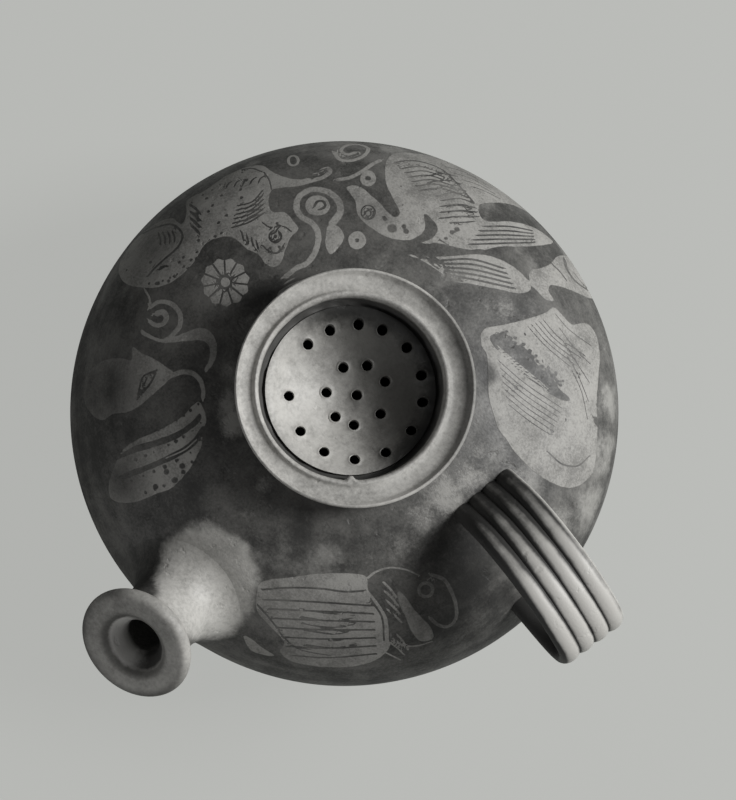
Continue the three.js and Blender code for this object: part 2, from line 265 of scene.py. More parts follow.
tongue_depth = LAP_DEPTH + 0.0003
bowl_outline = body_arc(-turn_at_radius(BASE_HOLE, 0), turn_at_height(SEAM_HEIGHT, 0), 0, BOWL_ROWS)
for tongue_height in (SEAM_HEIGHT, LAP_TOP - 0.0003):
    bowl_outline.append(body_point(turn_at_height(tongue_height, tongue_depth), tongue_depth))
bowl_outline += body_arc(turn_at_height(LAP_TOP - 0.0003, WALL), -turn_at_radius(BASE_HOLE, WALL),
                         WALL, INSIDE_ROWS)
bowl_mesh = spun(bowl_outline, BODY_STEPS // 2)
hand_made(bowl_mesh, WOBBLE, WOBBLE_SCALE)
bowl = shown("bowl_body", bowl_mesh, slip_finish)
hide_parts("bowl")


# Foot ring: a low turned ring of bare clay, luted under the bowl and wiped smooth.
# Its standing edge is scuffed pale by years on a table.
FOOT_OUTER = 0.036
FOOT_INNER = 0.027
FOOT_EDGE = 0.0016
FOOT_TAPER = 0.0012
FOOT_ROUND = 0.0006
FOOT_STEPS = 128
FOOT_ROWS = 6
CLAY_DARK = (0.115, 0.112, 0.104, 1)
CLAY_PALE = (0.30, 0.292, 0.272, 1)


def clay_ground(place, dark, pale, low=0.38, high=0.66):
    """Bare or thinly slipped clay, stained in clouds and flecked with grit."""
    cloud = place.grain(85, 6, 0.7)
    stain = place.grain(26, 3, 0.55)
    fleck = place.grain(900, 3, 0.7)
    worn = (0.45 * cloud + 0.25 * stain + 0.3 * fleck).eased(low, high)
    return worn.colour(dark, pale), worn


foot_finish, foot_shader, foot_place = new_finish("bare_clay")
foot_colour, foot_worn = clay_ground(foot_place, CLAY_DARK, CLAY_PALE)
foot_colour.into(foot_shader.inputs["Base Color"])
(0.88 - 0.12 * foot_worn).into(foot_shader.inputs["Roughness"])
slip_surface(foot_place).bump(0.0004).into(foot_shader.inputs["Normal"])

foot_outline = [(FOOT_INNER, 0), (FOOT_OUTER, 0), (FOOT_OUTER, FOOT_EDGE)]
for foot_row in range(FOOT_ROWS + 1):
    foot_share = foot_row / FOOT_ROWS
    foot_radius = FOOT_OUTER - FOOT_TAPER - (FOOT_OUTER - FOOT_INNER - 2 * FOOT_TAPER) * foot_share
    foot_outline.append(body_point(-turn_at_radius(foot_radius, 0), 0))
foot_outline.append((FOOT_INNER, FOOT_EDGE))
foot_mesh = spun(foot_outline, FOOT_STEPS)
foot_corners = [e for e in foot_mesh.edges if e.calc_face_angle() > SHARP_EDGE and e.verts[0].co.z < 0.003]
bmesh.ops.bevel(foot_mesh, geom=foot_corners, offset=FOOT_ROUND, affect="EDGES", segments=3,
                profile=0.5, material=-1)
foot = shown("foot_ring_turned", foot_mesh, foot_finish)
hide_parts("foot_ring")


# Filling tube: a rolled clay tube that stands up from the hole in the base, inside the body.
# A smeared flange luted to the floor holds it, and its open top lies above the liquid.
TUBE_BORE = 0.006
TUBE_OUTER = 0.0086
TUBE_TOP = 0.060
FLANGE_RADIUS = 0.0136
FLANGE_RISE = 0.0031
TUBE_STEPS = 64
TUBE_ROUND = 0.0008

tube_bottom = body_point(-turn_at_radius(TUBE_OUTER + 0.0003, 0), 0)[1]
floor_at = {r: body_point(-turn_at_radius(r, WALL), WALL)[1] + 0.0003 for r in (TUBE_OUTER, FLANGE_RADIUS)}
tube_outline = [
    (TUBE_BORE, tube_bottom),
    (TUBE_OUTER, tube_bottom),
    (TUBE_OUTER, floor_at[TUBE_OUTER]),
    (FLANGE_RADIUS, floor_at[FLANGE_RADIUS]),
    (FLANGE_RADIUS - 0.0008, floor_at[FLANGE_RADIUS] + 0.5 * FLANGE_RISE),
    (TUBE_OUTER + 0.0016, floor_at[FLANGE_RADIUS] + 0.7 * FLANGE_RISE),
    (TUBE_OUTER, floor_at[FLANGE_RADIUS] + 1.6 * FLANGE_RISE),
    (TUBE_OUTER, TUBE_TOP),
    (TUBE_BORE, TUBE_TOP),
]
tube_mesh = spun(tube_outline, TUBE_STEPS)
tube_rims = [e for e in tube_mesh.edges if min(v.co.z for v in e.verts) > TUBE_TOP - 1e-6]
bmesh.ops.bevel(tube_mesh, geom=tube_rims, offset=TUBE_ROUND, affect="EDGES", segments=3,
                profile=0.5, material=-1)
tube = shown("filling_tube_rolled", tube_mesh, foot_finish)
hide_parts("filling_tube")


# Shoulder: the domed upper half, thrown separately and luted to the bowl under the belly.
# A frieze of beasts, birds, scrolls and a rosette is painted on it in pale slip over the dark ground.
# The spout's bore goes through its wall, and the paint is rubbed thin round the neck and the handle.
DOME_ROWS = 112
NECK_HOLE = 0.0281
SPOUT_ROOT_RISE = 0.0166
SPOUT_CLIMB = math.radians(46)
SPOUT_LENGTH = 0.027
SPOUT_BORE = 0.0054
SPOUT_HOLE = 0.0068
DOME_INSIDE_ROWS = 30
PAINT_PALE = (0.36, 0.353, 0.333, 1)
PAINT_THIN = (0.17, 0.167, 0.157, 1)
WORN_CLAY = (0.34, 0.333, 0.313, 1)
WASHED_SLIP = (0.34, 0.335, 0.315, 1)
# Near-black for fire smoke and for painted shade on the dome
SMOKE_AND_SHADE_SLIP = (0.018, 0.018, 0.017, 1)

spout_root = Vector((0, -body_point(turn_at_height(BELLY_HEIGHT + SPOUT_ROOT_RISE, 0), 0)[0],
                     BELLY_HEIGHT + SPOUT_ROOT_RISE))
spout_axis = Vector((0, -math.cos(SPOUT_CLIMB), math.sin(SPOUT_CLIMB)))
spout_mouth = spout_root + spout_axis * SPOUT_LENGTH
spout_turn = straight_up.rotation_difference(spout_axis).to_matrix().to_4x4()

shoulder_outline = body_arc(turn_at_height(SEAM_HEIGHT, 0), turn_at_radius(NECK_HOLE, 0), 0, DOME_ROWS)
shoulder_outline += body_arc(turn_at_radius(NECK_HOLE, WALL), turn_at_height(LAP_TOP, WALL), WALL,
                             DOME_INSIDE_ROWS)
for lap_height in (LAP_TOP, SEAM_HEIGHT):
    shoulder_outline.append(body_point(turn_at_height(lap_height, LAP_DEPTH), LAP_DEPTH))
shoulder_mesh = spun(shoulder_outline, BODY_STEPS)
hand_made(shoulder_mesh, WOBBLE, WOBBLE_SCALE)
bored = []
for face in shoulder_mesh.faces:
    offset = face.calc_center_median() - spout_root
    if (offset - spout_axis * offset.dot(spout_axis)).length < SPOUT_HOLE and offset.length < 4 * SPOUT_HOLE:
        bored.append(face)
bmesh.ops.delete(shoulder_mesh, geom=bored, context="FACES")
bore_edges = [edge for edge in shoulder_mesh.edges if edge.is_boundary]
bmesh.ops.bridge_loops(shoulder_mesh, edges=bore_edges)
bmesh.ops.recalc_face_normals(shoulder_mesh, faces=shoulder_mesh.faces)

painted_finish, painted_shader, painted_place = new_finish("painted_slip")
shoulder = shown("shoulder_dome", shoulder_mesh, painted_finish)
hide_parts("shoulder")

# The frieze is set out in the picture, in its pixels. A point there is cast on to the dome,
# and the dome is unrolled flat in millimetres, so that brush widths are true on the clay.
MM = 1000
unroll_turns = np.linspace(-0.4, math.pi / 2, 3000)
unroll_rise = np.where(unroll_turns > 0, DOME_RISE, BOWL_DROP) * MM
unroll_steps = np.hypot(BODY_RADIUS * MM * np.sin(unroll_turns), unroll_rise * np.cos(unroll_turns))
unroll_arc = np.cumsum(unroll_steps) * (unroll_turns[1] - unroll_turns[0])
unroll_arc = unroll_arc[-1] - unroll_arc


def unrolled(places):
    """Points of the dome, in metres, as flat (x, y) millimetres about the pole."""
    lift = places[:, 2] - BELLY_HEIGHT
    out = np.hypot(places[:, 0], places[:, 1])
    turn = np.arctan2(lift / np.where(lift > 0, DOME_RISE, BOWL_DROP), out / BODY_RADIUS)
    arc = np.interp(turn, unroll_turns, unroll_arc)
    return places[:, :2] * (arc / np.maximum(out, 1e-9))[:, None]


def cast(pixels):
    """Points of the picture as flat millimetres on the unrolled dome."""
    pixels = np.asarray(pixels, float)
    right = pixels[:, 0] - PICTURE[0] / 2
    up = PICTURE[1] / 2 - pixels[:, 1]
    ray = np.outer(right, view_right) + np.outer(up, view_up) + FOCAL_PIXELS * np.array(view_forward)
    size = np.array((BODY_RADIUS, BODY_RADIUS, DOME_RISE))
    start = np.array(camera_place - belly_middle) / size
    ray = ray / size
    square = (ray * ray).sum(1)
    along = ray @ start
    spare = np.maximum(along ** 2 - square * (start @ start - 1), 0)
    met = start + ray * ((-along - np.sqrt(spare)) / square)[:, None]
    met /= np.linalg.norm(met, axis=1)[:, None]
    return unrolled(met * size + np.array(belly_middle))


def brush_line(points, closed=False, share=6):
    """A flowing line through a few points of the picture."""
    points = [np.array(p, float) for p in points]
    if closed:
        knots = [points[-1]] + points + points[:2]
    else:
        knots = [2 * points[0] - points[1]] + points + [2 * points[-1] - points[-2]]
    line = []
    for before, a, b, after in zip(knots, knots[1:], knots[2:], knots[3:]):
        for step in range(share):
            t = step / share
            line.append(0.5 * (2 * a + (b - before) * t + (2 * before - 5 * a + 4 * b - after) * t ** 2
                               + (3 * a - before - 3 * b + after) * t ** 3))
    if not closed:
        line.append(points[-1])
    return cast(line)


vertex_count = len(shoulder.data.vertices)
vertex_places = np.empty(vertex_count * 3)
shoulder.data.vertices.foreach_get("co", vertex_places)
chart = unrolled(vertex_places.reshape(-1, 3))
FAR = 50.0
figures = np.full(vertex_count, FAR)
pale_lines = {"near": np.full(vertex_count, FAR), "side": np.full(vertex_count, FAR)}
dark_lines = {"near": np.full(vertex_count, FAR), "side": np.full(vertex_count, FAR)}
worn_spots = np.zeros(vertex_count)
faded_and_shaded_spots = np.zeros(vertex_count)
washed_spots = np.zeros(vertex_count)
smoke_and_shade_spots = np.zeros(vertex_count)


def close_to(line, reach):
    low = line.min(0) - reach
    high = line.max(0) + reach
    return np.flatnonzero(((chart > low) & (chart < high)).all(1))


def shape_depth(points, reach=4.0):
    """Vertices near a closed shape and how far outside it they lie, negative inside."""
    line = brush_line(points, closed=True)
    chosen = close_to(line, reach)
    x, y = chart[chosen].T
    best = np.full(len(chosen), FAR)
    inside = np.zeros(len(chosen), bool)
    for (ax, ay), (bx, by) in zip(line, np.roll(line, -1, 0)):
        ex, ey = bx - ax, by - ay
        share = np.clip(((x - ax) * ex + (y - ay) * ey) / (ex * ex + ey * ey + 1e-12), 0, 1)
        best = np.minimum(best, np.hypot(x - ax - ex * share, y - ay - ey * share))
        if ay != by:
            inside ^= ((ay > y) != (by > y)) & (x < ex * (y - ay) / (by - ay) + ax)
    return chosen, np.where(inside, -best, best)


def figure(points):
    """Fills a shape with pale slip."""
    chosen, depth = shape_depth(points)
    figures[chosen] = np.minimum(figures[chosen], depth)


def ground(points):
    """Leaves a shape dark inside a figure."""
    chosen, depth = shape_depth(points)
    figures[chosen] = np.maximum(figures[chosen], -depth)


def brush(layer, points, width, end_width=None, closed=False):
    """One brush line, in millimetres of width, that may thin towards its end."""
    line = brush_line(points, closed)
    if closed:
        line = np.vstack((line, line[:1]))
    end_width = width if end_width is None else end_width
    chosen = close_to(line, 4.0)
    x, y = chart[chosen].T
    near = layer["near"][chosen]
    side = layer["side"][chosen]
    spans = len(line) - 1
    for index in range(spans):
        (ax, ay), (bx, by) = line[index], line[index + 1]
        ex, ey = bx - ax, by - ay
        share = np.clip(((x - ax) * ex + (y - ay) * ey) / (ex * ex + ey * ey + 1e-12), 0, 1)
        half = (width + (end_width - width) * (index + share) / spans) / 2
        gap = np.hypot(x - ax - ex * share, y - ay - ey * share) / half
        nearer = gap < near
        turn = np.where(ex * (y - ay) - ey * (x - ax) < 0, -1.0, 1.0)
        near = np.where(nearer, gap, near)
        side = np.where(nearer, gap * turn, side)
    layer["near"][chosen] = near
    layer["side"][chosen] = side


def dot(layer, place, radius):
    centre = cast([place])
    chosen = close_to(centre, radius + 3.0)
    gap = np.hypot(*(chart[chosen] - centre).T) / radius
    nearer = gap < layer["near"][chosen]
    layer["near"][chosen] = np.where(nearer, gap, layer["near"][chosen])
    layer["side"][chosen] = np.where(nearer, gap, layer["side"][chosen])


def dot_row(points, count, radius):
    """Dark dots along a line of the picture, a little uneven in size."""
    points = np.array(points, float)
    reach = np.concatenate(([0], np.cumsum(np.hypot(*np.diff(points, axis=0).T))))
    for index in range(count):
        at = reach[-1] * (index + 0.25 * math.sin(7 * index)) / (count - 1)
        place = (np.interp(at, reach, points[:, 0]), np.interp(at, reach, points[:, 1]))
        dot(dark_lines, place, radius * (1 + 0.25 * math.sin(5 * index + points[0, 0])))


def ring(layer, place, radius, width):
    turns = np.linspace(0, 2 * math.pi, 12, endpoint=False)
    points = [(place[0] + radius * math.cos(t), place[1] + radius * math.sin(t)) for t in turns]
    brush(layer, points, width, closed=True)


def disc(place, radius):
    turns = np.linspace(0, 2 * math.pi, 12, endpoint=False)
    figure([(place[0] + radius * math.cos(t), place[1] + radius * math.sin(t)) for t in turns])


def hatch(layer, first, last, count, width):
    """Even lines from one guide line to another, drawn to and fro."""
    first, last = np.array(first, float), np.array(last, float)
    for index in range(count):
        guide = first + (last - first) * index / (count - 1)
        brush(layer, guide if index % 2 else guide[::-1], width)


def spot(layer, place, radius, amount):
    """A round patch that fades outwards, its radius in millimetres."""
    gap = np.hypot(*(chart - cast([place])).T) / radius
    layer[:] = np.maximum(layer, amount * np.exp(-gap ** 2))


# Spotted beast, upper left: haunch, arched back, maned neck, head hung low and a raised paw
figure([(124, 282), (118, 268), (128, 248), (142, 233), (158, 222), (172, 218), (181, 224), (186, 214),
        (187, 200), (205, 190), (225, 176), (245, 167), (262, 165), (273, 172), (290, 178), (305, 178),
        (318, 170), (328, 166), (332, 172), (322, 179), (300, 185), (282, 187), (271, 190), (268, 202),
        (272, 211), (285, 212), (294, 222), (298, 229), (291, 236), (286, 247), (281, 261), (273, 267),
        (264, 262), (258, 254), (246, 248), (236, 239), (225, 236), (210, 240), (202, 247), (196, 258),
        (186, 270), (172, 281), (156, 287), (140, 287)])
brush(dark_lines, [(143, 233), (156, 227), (170, 224), (179, 229), (182, 237), (177, 247), (166, 257),
                   (156, 266), (148, 275)], 0.8)
hatch(dark_lines, [(158, 233), (160, 239), (160, 244)], [(172, 231), (174, 236), (174, 241)], 4, 0.7)
hatch(dark_lines, [(190, 205), (195, 208), (199, 213)], [(191, 225), (195, 229), (199, 233)], 4, 0.9)
hatch(dark_lines, [(238, 205), (252, 201), (262, 190)], [(232, 227), (248, 222), (263, 213)], 6, 0.6)
hatch(dark_lines, [(226, 187), (228, 183), (231, 181)], [(258, 182), (260, 178), (263, 176)], 5, 0.6)
brush(dark_lines, [(242, 169), (252, 168), (261, 171)], 0.6)
brush(dark_lines, [(264, 172), (269, 180), (271, 189)], 0.5)
hatch(dark_lines, [(308, 173), (317, 171), (326, 168)], [(308, 177), (317, 176), (326, 172)], 3, 0.5)
ring(dark_lines, (275, 236), 6, 0.6)
dot(dark_lines, (275, 236), 0.7)
hatch(dark_lines, [(241, 231), (242, 235), (243, 239)], [(256, 241), (257, 245), (258, 249)], 4, 0.6)
for beast_spot in ((212, 205), (208, 211), (226, 215), (241, 197), (240, 189), (221, 195), (218, 222),
                   (277, 223), (270, 248), (279, 247), (183, 257), (179, 262), (174, 276), (188, 268),
                   (196, 258), (168, 281), (158, 283), (150, 262), (206, 198), (198, 240), (246, 180)):
    dot(dark_lines, beast_spot, 0.62)
brush(dark_lines, [(160, 268), (164, 266), (167, 266)], 1.3, 0.6)
dot_row([(126, 270), (140, 283), (158, 283), (176, 274), (192, 258), (204, 242), (222, 232)], 15, 0.5)
dot_row([(192, 200), (208, 192), (226, 180), (244, 171)], 7, 0.45)
dot_row([(246, 244), (258, 252), (268, 260)], 4, 0.45)
dot_row([(288, 181), (304, 181), (320, 175)], 4, 0.4)
brush(dark_lines, [(262, 222), (270, 227), (283, 226), (291, 231)], 0.45)
brush(dark_lines, [(262, 245), (270, 252), (279, 252), (284, 244)], 0.5)

# Rosette and scrolls between the beast and the goose
ROSETTE = (225, 282)
ROSETTE_PETALS = 11
rosette_turns = [2 * math.pi * petal / ROSETTE_PETALS + 0.1 for petal in range(ROSETTE_PETALS)]
figure([(ROSETTE[0] + reach * math.cos(turn), ROSETTE[1] + reach * math.sin(turn))
        for petal in rosette_turns
        for turn, reach in ((petal, 22.0), (petal + math.pi / ROSETTE_PETALS, 24.5))])
for petal in rosette_turns:
    brush(dark_lines, [(ROSETTE[0] + reach * math.cos(petal), ROSETTE[1] + reach * math.sin(petal))
                       for reach in (7, 14, 22)], 0.6)
ring(dark_lines, ROSETTE, 6, 0.75)

brush(pale_lines, [(150, 307), (157, 302), (167, 302), (175, 307), (180, 316), (179, 326), (173, 334),
                   (169, 338)], 1.2, 1.7)
brush(pale_lines, [(149, 321), (155, 325), (162, 324), (166, 318), (163, 312), (157, 313)], 1.2, 1.9)
brush(pale_lines, [(144, 289), (149, 298), (149, 307)], 0.6)
figure([(141, 329), (150, 335), (160, 339), (168, 336), (176, 336), (186, 332), (196, 328), (206, 329),
        (213, 335), (217, 345), (216, 357), (212, 365), (206, 372), (204, 370), (208, 362), (210, 353),
        (209, 346), (204, 341), (197, 340), (186, 341), (174, 342), (160, 342), (149, 338), (141, 334)])
brush(pale_lines, [(286, 276), (296, 268), (308, 262), (316, 249), (318, 234), (312, 223), (301, 216),
                   (296, 206), (300, 195), (312, 189), (327, 191), (338, 200), (340, 212),
                   (332, 223)], 1.5, 2.2)
figure([(305, 206), (308, 198), (317, 195), (326, 198), (330, 206), (326, 213), (317, 215), (309, 213)])
brush(dark_lines, [(314, 206), (317, 201), (323, 201), (325, 206), (320, 209)], 0.8)
brush(pale_lines, [(334, 152), (340, 159), (352, 160), (364, 155), (368, 148), (358, 144), (346, 145),
                   (341, 150), (347, 154), (355, 152)], 1.3)
ring(pale_lines, (293, 160), 5, 0.9)
disc((368, 178), 8)
dot(dark_lines, (368, 178), 1.0)
disc((357, 240), 9)
dot(dark_lines, (357, 240), 0.7)
brush(pale_lines, [(338, 179), (350, 177), (362, 171), (372, 164), (380, 160)], 1.4)
brush(pale_lines, [(280, 292), (290, 286), (300, 282), (312, 278)], 1.0)
figure([(328, 225), (338, 226), (344, 236), (338, 248), (330, 254), (325, 244), (326, 234)])

# Goose, upper right: beaked head on a bent neck, barred wing and two fanned tails
figure([(346, 187), (351, 194), (356, 203), (357, 213), (363, 221), (372, 228), (383, 235), (396, 239),
        (410, 240), (424, 243), (440, 243), (462, 248), (482, 250), (500, 246), (525, 246), (552, 243),
        (548, 236), (534, 227), (512, 221), (485, 220), (479, 205), (495, 202), (515, 205), (535, 214),
        (520, 192), (495, 176), (465, 163), (430, 155), (400, 152), (388, 158), (385, 170), (387, 185),
        (393, 198), (400, 212), (395, 217), (388, 212), (380, 203), (372, 196), (364, 189), (355, 185)])
ground([(424, 213), (433, 220), (438, 229), (432, 238), (420, 242), (404, 243), (418, 236), (425, 228)])
ring(dark_lines, (368, 212), 7, 0.5)
ring(dark_lines, (368, 213), 3, 0.5)
dot(dark_lines, (392, 228), 1.5)
dot(dark_lines, (404, 226), 0.8)
dot(dark_lines, (406, 231), 0.9)
dot(dark_lines, (385, 219), 0.7)
dot(dark_lines, (384, 217), 0.6)
dot(dark_lines, (457, 229), 0.9)
hatch(dark_lines, [(402, 168), (420, 166), (440, 172)], [(420, 190), (440, 188), (462, 194)], 6, 0.6)
hatch(dark_lines, [(442, 200), (460, 198), (474, 203)], [(440, 218), (460, 216), (478, 216)], 4, 0.6)
brush(dark_lines, [(395, 162), (410, 160), (428, 163), (445, 171), (460, 186), (474, 202)], 0.7)
hatch(dark_lines, [(484, 226), (510, 226), (532, 230)], [(470, 244), (500, 243), (535, 242)], 5, 0.65)
brush(dark_lines, [(420, 252), (440, 251), (460, 253), (480, 250), (492, 254)], 1.0)
hatch(dark_lines, [(424, 176), (442, 173), (458, 176)], [(436, 196), (452, 192), (470, 198)], 4, 0.4)
hatch(dark_lines, [(448, 206), (460, 205), (470, 208)], [(450, 222), (462, 222), (474, 221)], 4, 0.5)
dot(dark_lines, (452, 232), 0.8)
dot(dark_lines, (446, 238), 0.6)
figure([(404, 254), (425, 256), (450, 256), (480, 254), (500, 259), (516, 268), (528, 280), (531, 289),
        (520, 293), (500, 289), (474, 284), (448, 279), (425, 264)])
hatch(dark_lines, [(442, 260), (472, 259), (504, 268)], [(446, 274), (478, 280), (514, 288)], 5, 0.7)
brush(dark_lines, [(402, 254), (424, 263), (446, 277), (460, 280)], 0.9)
hatch(dark_lines, [(440, 240), (446, 243), (450, 247)], [(430, 246), (434, 248), (437, 250)], 3, 0.5)
dot_row([(391, 168), (391, 180), (396, 194), (404, 207), (414, 217)], 8, 0.3)
dot_row([(398, 176), (402, 190), (412, 202), (424, 210)], 6, 0.3)
hatch(dark_lines, [(446, 166), (466, 172), (486, 184)], [(472, 186), (484, 190), (500, 198)], 4, 0.4)
hatch(dark_lines, [(398, 246), (408, 250), (420, 258)], [(424, 250), (436, 258), (446, 268)], 5, 0.6)
dot_row([(398, 165), (414, 163), (432, 168), (448, 178), (462, 193)], 9, 0.4)

# Curled leaf at the right edge
figure([(531, 270), (540, 268), (550, 264), (558, 256), (568, 256), (577, 264), (584, 274), (591, 284),
        (598, 296), (590, 298), (574, 291), (560, 286), (551, 285), (549, 291), (554, 300), (546, 299),
        (537, 290), (530, 281)])
brush(dark_lines, [(565, 260), (568, 270), (576, 281), (588, 290)], 1.7, 0.8)
brush(dark_lines, [(552, 263), (560, 271), (567, 280)], 0.6)
hatch(dark_lines, [(578, 268), (584, 276), (590, 284)], [(574, 272), (581, 281), (588, 288)], 2, 0.5)

# Broad-winged bird on the right, with a dark plumed gap across it and fine wing lines
figure([(482, 346), (481, 335), (486, 328), (500, 325), (515, 322), (530, 318), (545, 313), (554, 307),
        (562, 314), (572, 324), (586, 323), (595, 332), (599, 345), (600, 360), (598, 385), (597, 405),
        (598, 425), (597, 450), (594, 470), (585, 482), (570, 488), (550, 482), (530, 468), (515, 452),
        (507, 440), (498, 428), (493, 412), (489, 395), (488, 370), (487, 355)])
ground([(490, 336), (499, 334), (511, 342), (521, 350), (533, 360), (546, 373), (558, 387), (571, 400),
        (560, 399), (546, 391), (530, 380), (515, 367), (503, 355), (494, 346)])
hatch(dark_lines, [(498, 360), (526, 384), (562, 408)], [(508, 404), (528, 420), (552, 436)], 7, 0.25)
PLUME_EDGE = [(500, 335), (508, 341), (517, 348), (524, 355), (532, 361), (540, 369), (549, 377), (557, 386)]
dot_row([(x + 4, y - 1) for x, y in PLUME_EDGE], 13, 0.85)
dot_row([(x + 7, y - 4) for x, y in PLUME_EDGE], 9, 0.5)
brush(dark_lines, PLUME_EDGE, 1.3, 0.8)
brush(pale_lines, [(499, 350), (514, 363), (531, 377), (549, 389)], 0.5, 0.3)
brush(pale_lines, [(498, 346), (513, 359), (530, 373), (546, 386)], 0.35, 0.3)
brush(pale_lines, [(500, 354), (514, 367), (530, 380), (550, 393)], 0.4, 0.3)
hatch(dark_lines, [(528, 326), (546, 346), (570, 366)], [(544, 320), (560, 338), (586, 356)], 5, 0.28)
hatch(dark_lines, [(556, 314), (570, 330), (592, 346)], [(572, 370), (582, 392), (588, 420)], 5, 0.28)
brush(dark_lines, [(548, 452), (562, 464), (578, 466), (590, 456)], 0.5)
brush(dark_lines, [(596, 420), (602, 430), (606, 442), (600, 436)], 2.2, 0.8)
brush(dark_lines, [(598, 452), (600, 468), (597, 486)], 1.0, 0.5)
for wing_spot in ((525, 334), (516, 388), (580, 374), (552, 434), (566, 420)):
    dot(dark_lines, wing_spot, 0.5)

# Bird on the left: folded wing, a curling crest and three spotted feather bands under it
figure([(132, 347), (141, 353), (152, 358), (163, 365), (174, 374), (166, 382), (156, 391), (147, 399),
        (137, 407), (126, 412), (112, 414), (102, 420), (92, 415), (84, 402), (84, 385), (90, 370),
        (104, 360), (120, 358), (131, 360)])
brush(pale_lines, [(170, 376), (181, 372), (192, 373), (200, 380), (203, 390), (203, 397)], 1.5, 1.2)
brush(dark_lines, [(156, 371), (150, 383), (141, 394), (137, 398)], 0.7)
brush(dark_lines, [(154, 371), (143, 376), (139, 387), (137, 397)], 0.6)
hatch(dark_lines, [(146, 379), (144, 383), (142, 386)], [(144, 387), (142, 390), (140, 393)], 2, 0.5)
figure([(199, 402), (204, 410), (206, 420), (203, 432), (201, 446), (196, 457), (189, 469), (180, 480),
        (170, 489), (158, 493), (146, 498), (130, 503), (112, 500), (108, 486), (114, 466), (122, 450),
        (136, 440), (152, 433), (169, 425), (184, 415), (192, 406)])
ground([(200, 413), (190, 423), (174, 433), (154, 440), (134, 446), (118, 456), (116, 460), (134, 453),
        (154, 447), (174, 440), (190, 430), (200, 421)])
ground([(203, 425), (191, 441), (174, 452), (153, 462), (132, 470), (118, 476), (124, 479), (138, 474),
        (156, 467), (176, 458), (193, 447), (204, 432)])
brush(pale_lines, [(196, 440), (184, 450), (166, 458)], 0.4)
dot_row([(198, 404), (188, 412), (176, 421), (162, 428), (148, 434)], 8, 0.5)
dot_row([(200, 423), (190, 433), (174, 442), (154, 452), (134, 460)], 9, 0.55)
dot_row([(200, 440), (190, 453), (170, 464), (148, 474), (128, 482)], 7, 0.6)
dot_row([(192, 462), (178, 478), (160, 488), (144, 493)], 6, 0.65)
for feather_spot in ((182, 466), (175, 480), (155, 487), (166, 472)):
    dot(dark_lines, feather_spot, 0.9)

# Barred bird at the bottom, and the head of another before it
figure([(262, 582), (290, 578), (320, 574), (350, 574), (366, 577), (368, 590), (376, 600), (386, 615),
        (391, 635), (388, 650), (374, 661), (350, 667), (320, 667), (292, 662), (280, 652), (284, 642),
        (270, 627), (258, 613), (256, 598)])
brush(dark_lines, [(262, 590), (290, 588), (320, 589), (345, 592), (364, 591)], 0.6)
hatch(dark_lines, [(264, 600), (310, 602), (372, 606)], [(292, 656), (330, 658), (376, 654)], 7, 0.6)
hatch(dark_lines, [(371, 600), (382, 618), (384, 640)], [(382, 596), (394, 618), (396, 642)], 3, 0.6)
brush(dark_lines, [(248, 619), (264, 632), (281, 645)], 0.8)
figure([(243, 636), (252, 640), (262, 648), (274, 656), (262, 655), (250, 650)])
figure([(398, 591), (406, 598), (413, 608), (421, 617), (431, 628), (433, 639), (420, 641), (411, 630),
        (405, 616), (399, 603)])
ring(pale_lines, (426, 590), 7, 1.0)
brush(pale_lines, [(432, 575), (444, 580), (451, 591), (456, 605), (456, 619), (448, 627), (438, 625),
                   (431, 619)], 1.1)
hatch(pale_lines, [(384, 583), (391, 590), (396, 597)], [(388, 610), (395, 616), (401, 622)], 4, 0.6)
brush(pale_lines, [(368, 578), (376, 572), (390, 568), (406, 570), (420, 576)], 0.7, 0.4)
brush(pale_lines, [(394, 640), (404, 646), (418, 646), (432, 642)], 0.8, 0.4)
hatch(pale_lines, [(396, 634), (402, 640), (408, 650)], [(384, 652), (392, 656), (400, 660)], 3, 0.5)
brush(dark_lines, [(258, 606), (272, 622), (284, 638), (300, 650), (330, 656)], 0.7, 0.4)
hatch(dark_lines, [(300, 610), (330, 614), (352, 612)], [(306, 645), (334, 648), (356, 644)], 6, 0.35)

# Where hands, pouring and burial have rubbed the slip; smoke and faded paint also carry painted shade on the
# shaded left and under the handle
for worn_place, worn_radius, worn_amount in (
        ((505, 310), 6, 0.75), ((488, 302), 5, 0.55), ((528, 314), 5, 0.5), ((478, 452), 5, 0.6),
        ((470, 478), 7, 0.9), ((446, 496), 8, 0.95), ((424, 520), 7, 0.8),
        ((402, 545), 6, 0.7), ((372, 560), 5, 0.5),
        ((262, 488), 5, 0.7), ((248, 516), 5, 0.5), ((212, 530), 6, 0.6), ((252, 575), 7, 0.6),
        ((250, 320), 4, 0.5), ((227, 405), 4, 1.0), ((229, 370), 4, 0.8), ((233, 424), 5, 1.1),
        ((300, 285), 6, 0.4), ((420, 270), 6, 0.4), ((606, 400), 6, 0.6), ((603, 455), 7, 0.65),
        ((590, 500), 8, 0.65), ((560, 520), 8, 0.7), ((520, 482), 6, 0.7), ((608, 360), 5, 0.5),
        ((88, 480), 4, 0.5), ((100, 520), 5, 0.5)):
    spot(worn_spots, worn_place, worn_radius, worn_amount)
# Paint thinned by wear, and on the dome's shaded left side thinned further as painted shade
for fade_shade_place, fade_shade_radius, fade_shade_amount in (
        ((106, 388), 13, 1.0), ((90, 380), 9, 1.0), ((430, 152), 6, 0.9), ((465, 160), 6, 0.9),
        ((497, 174), 6, 0.9), ((522, 191), 6, 0.9), ((538, 212), 5, 0.8),
        ((150, 250), 10, 0.35), ((200, 330), 8, 0.3), ((320, 635), 18, 0.4),
        ((180, 320), 8, 0.3), ((370, 215), 6, 0.5), ((120, 480), 8, 0.95), ((430, 600), 12, 0.35)):
    spot(faded_and_shaded_spots, fade_shade_place, fade_shade_radius, fade_shade_amount)
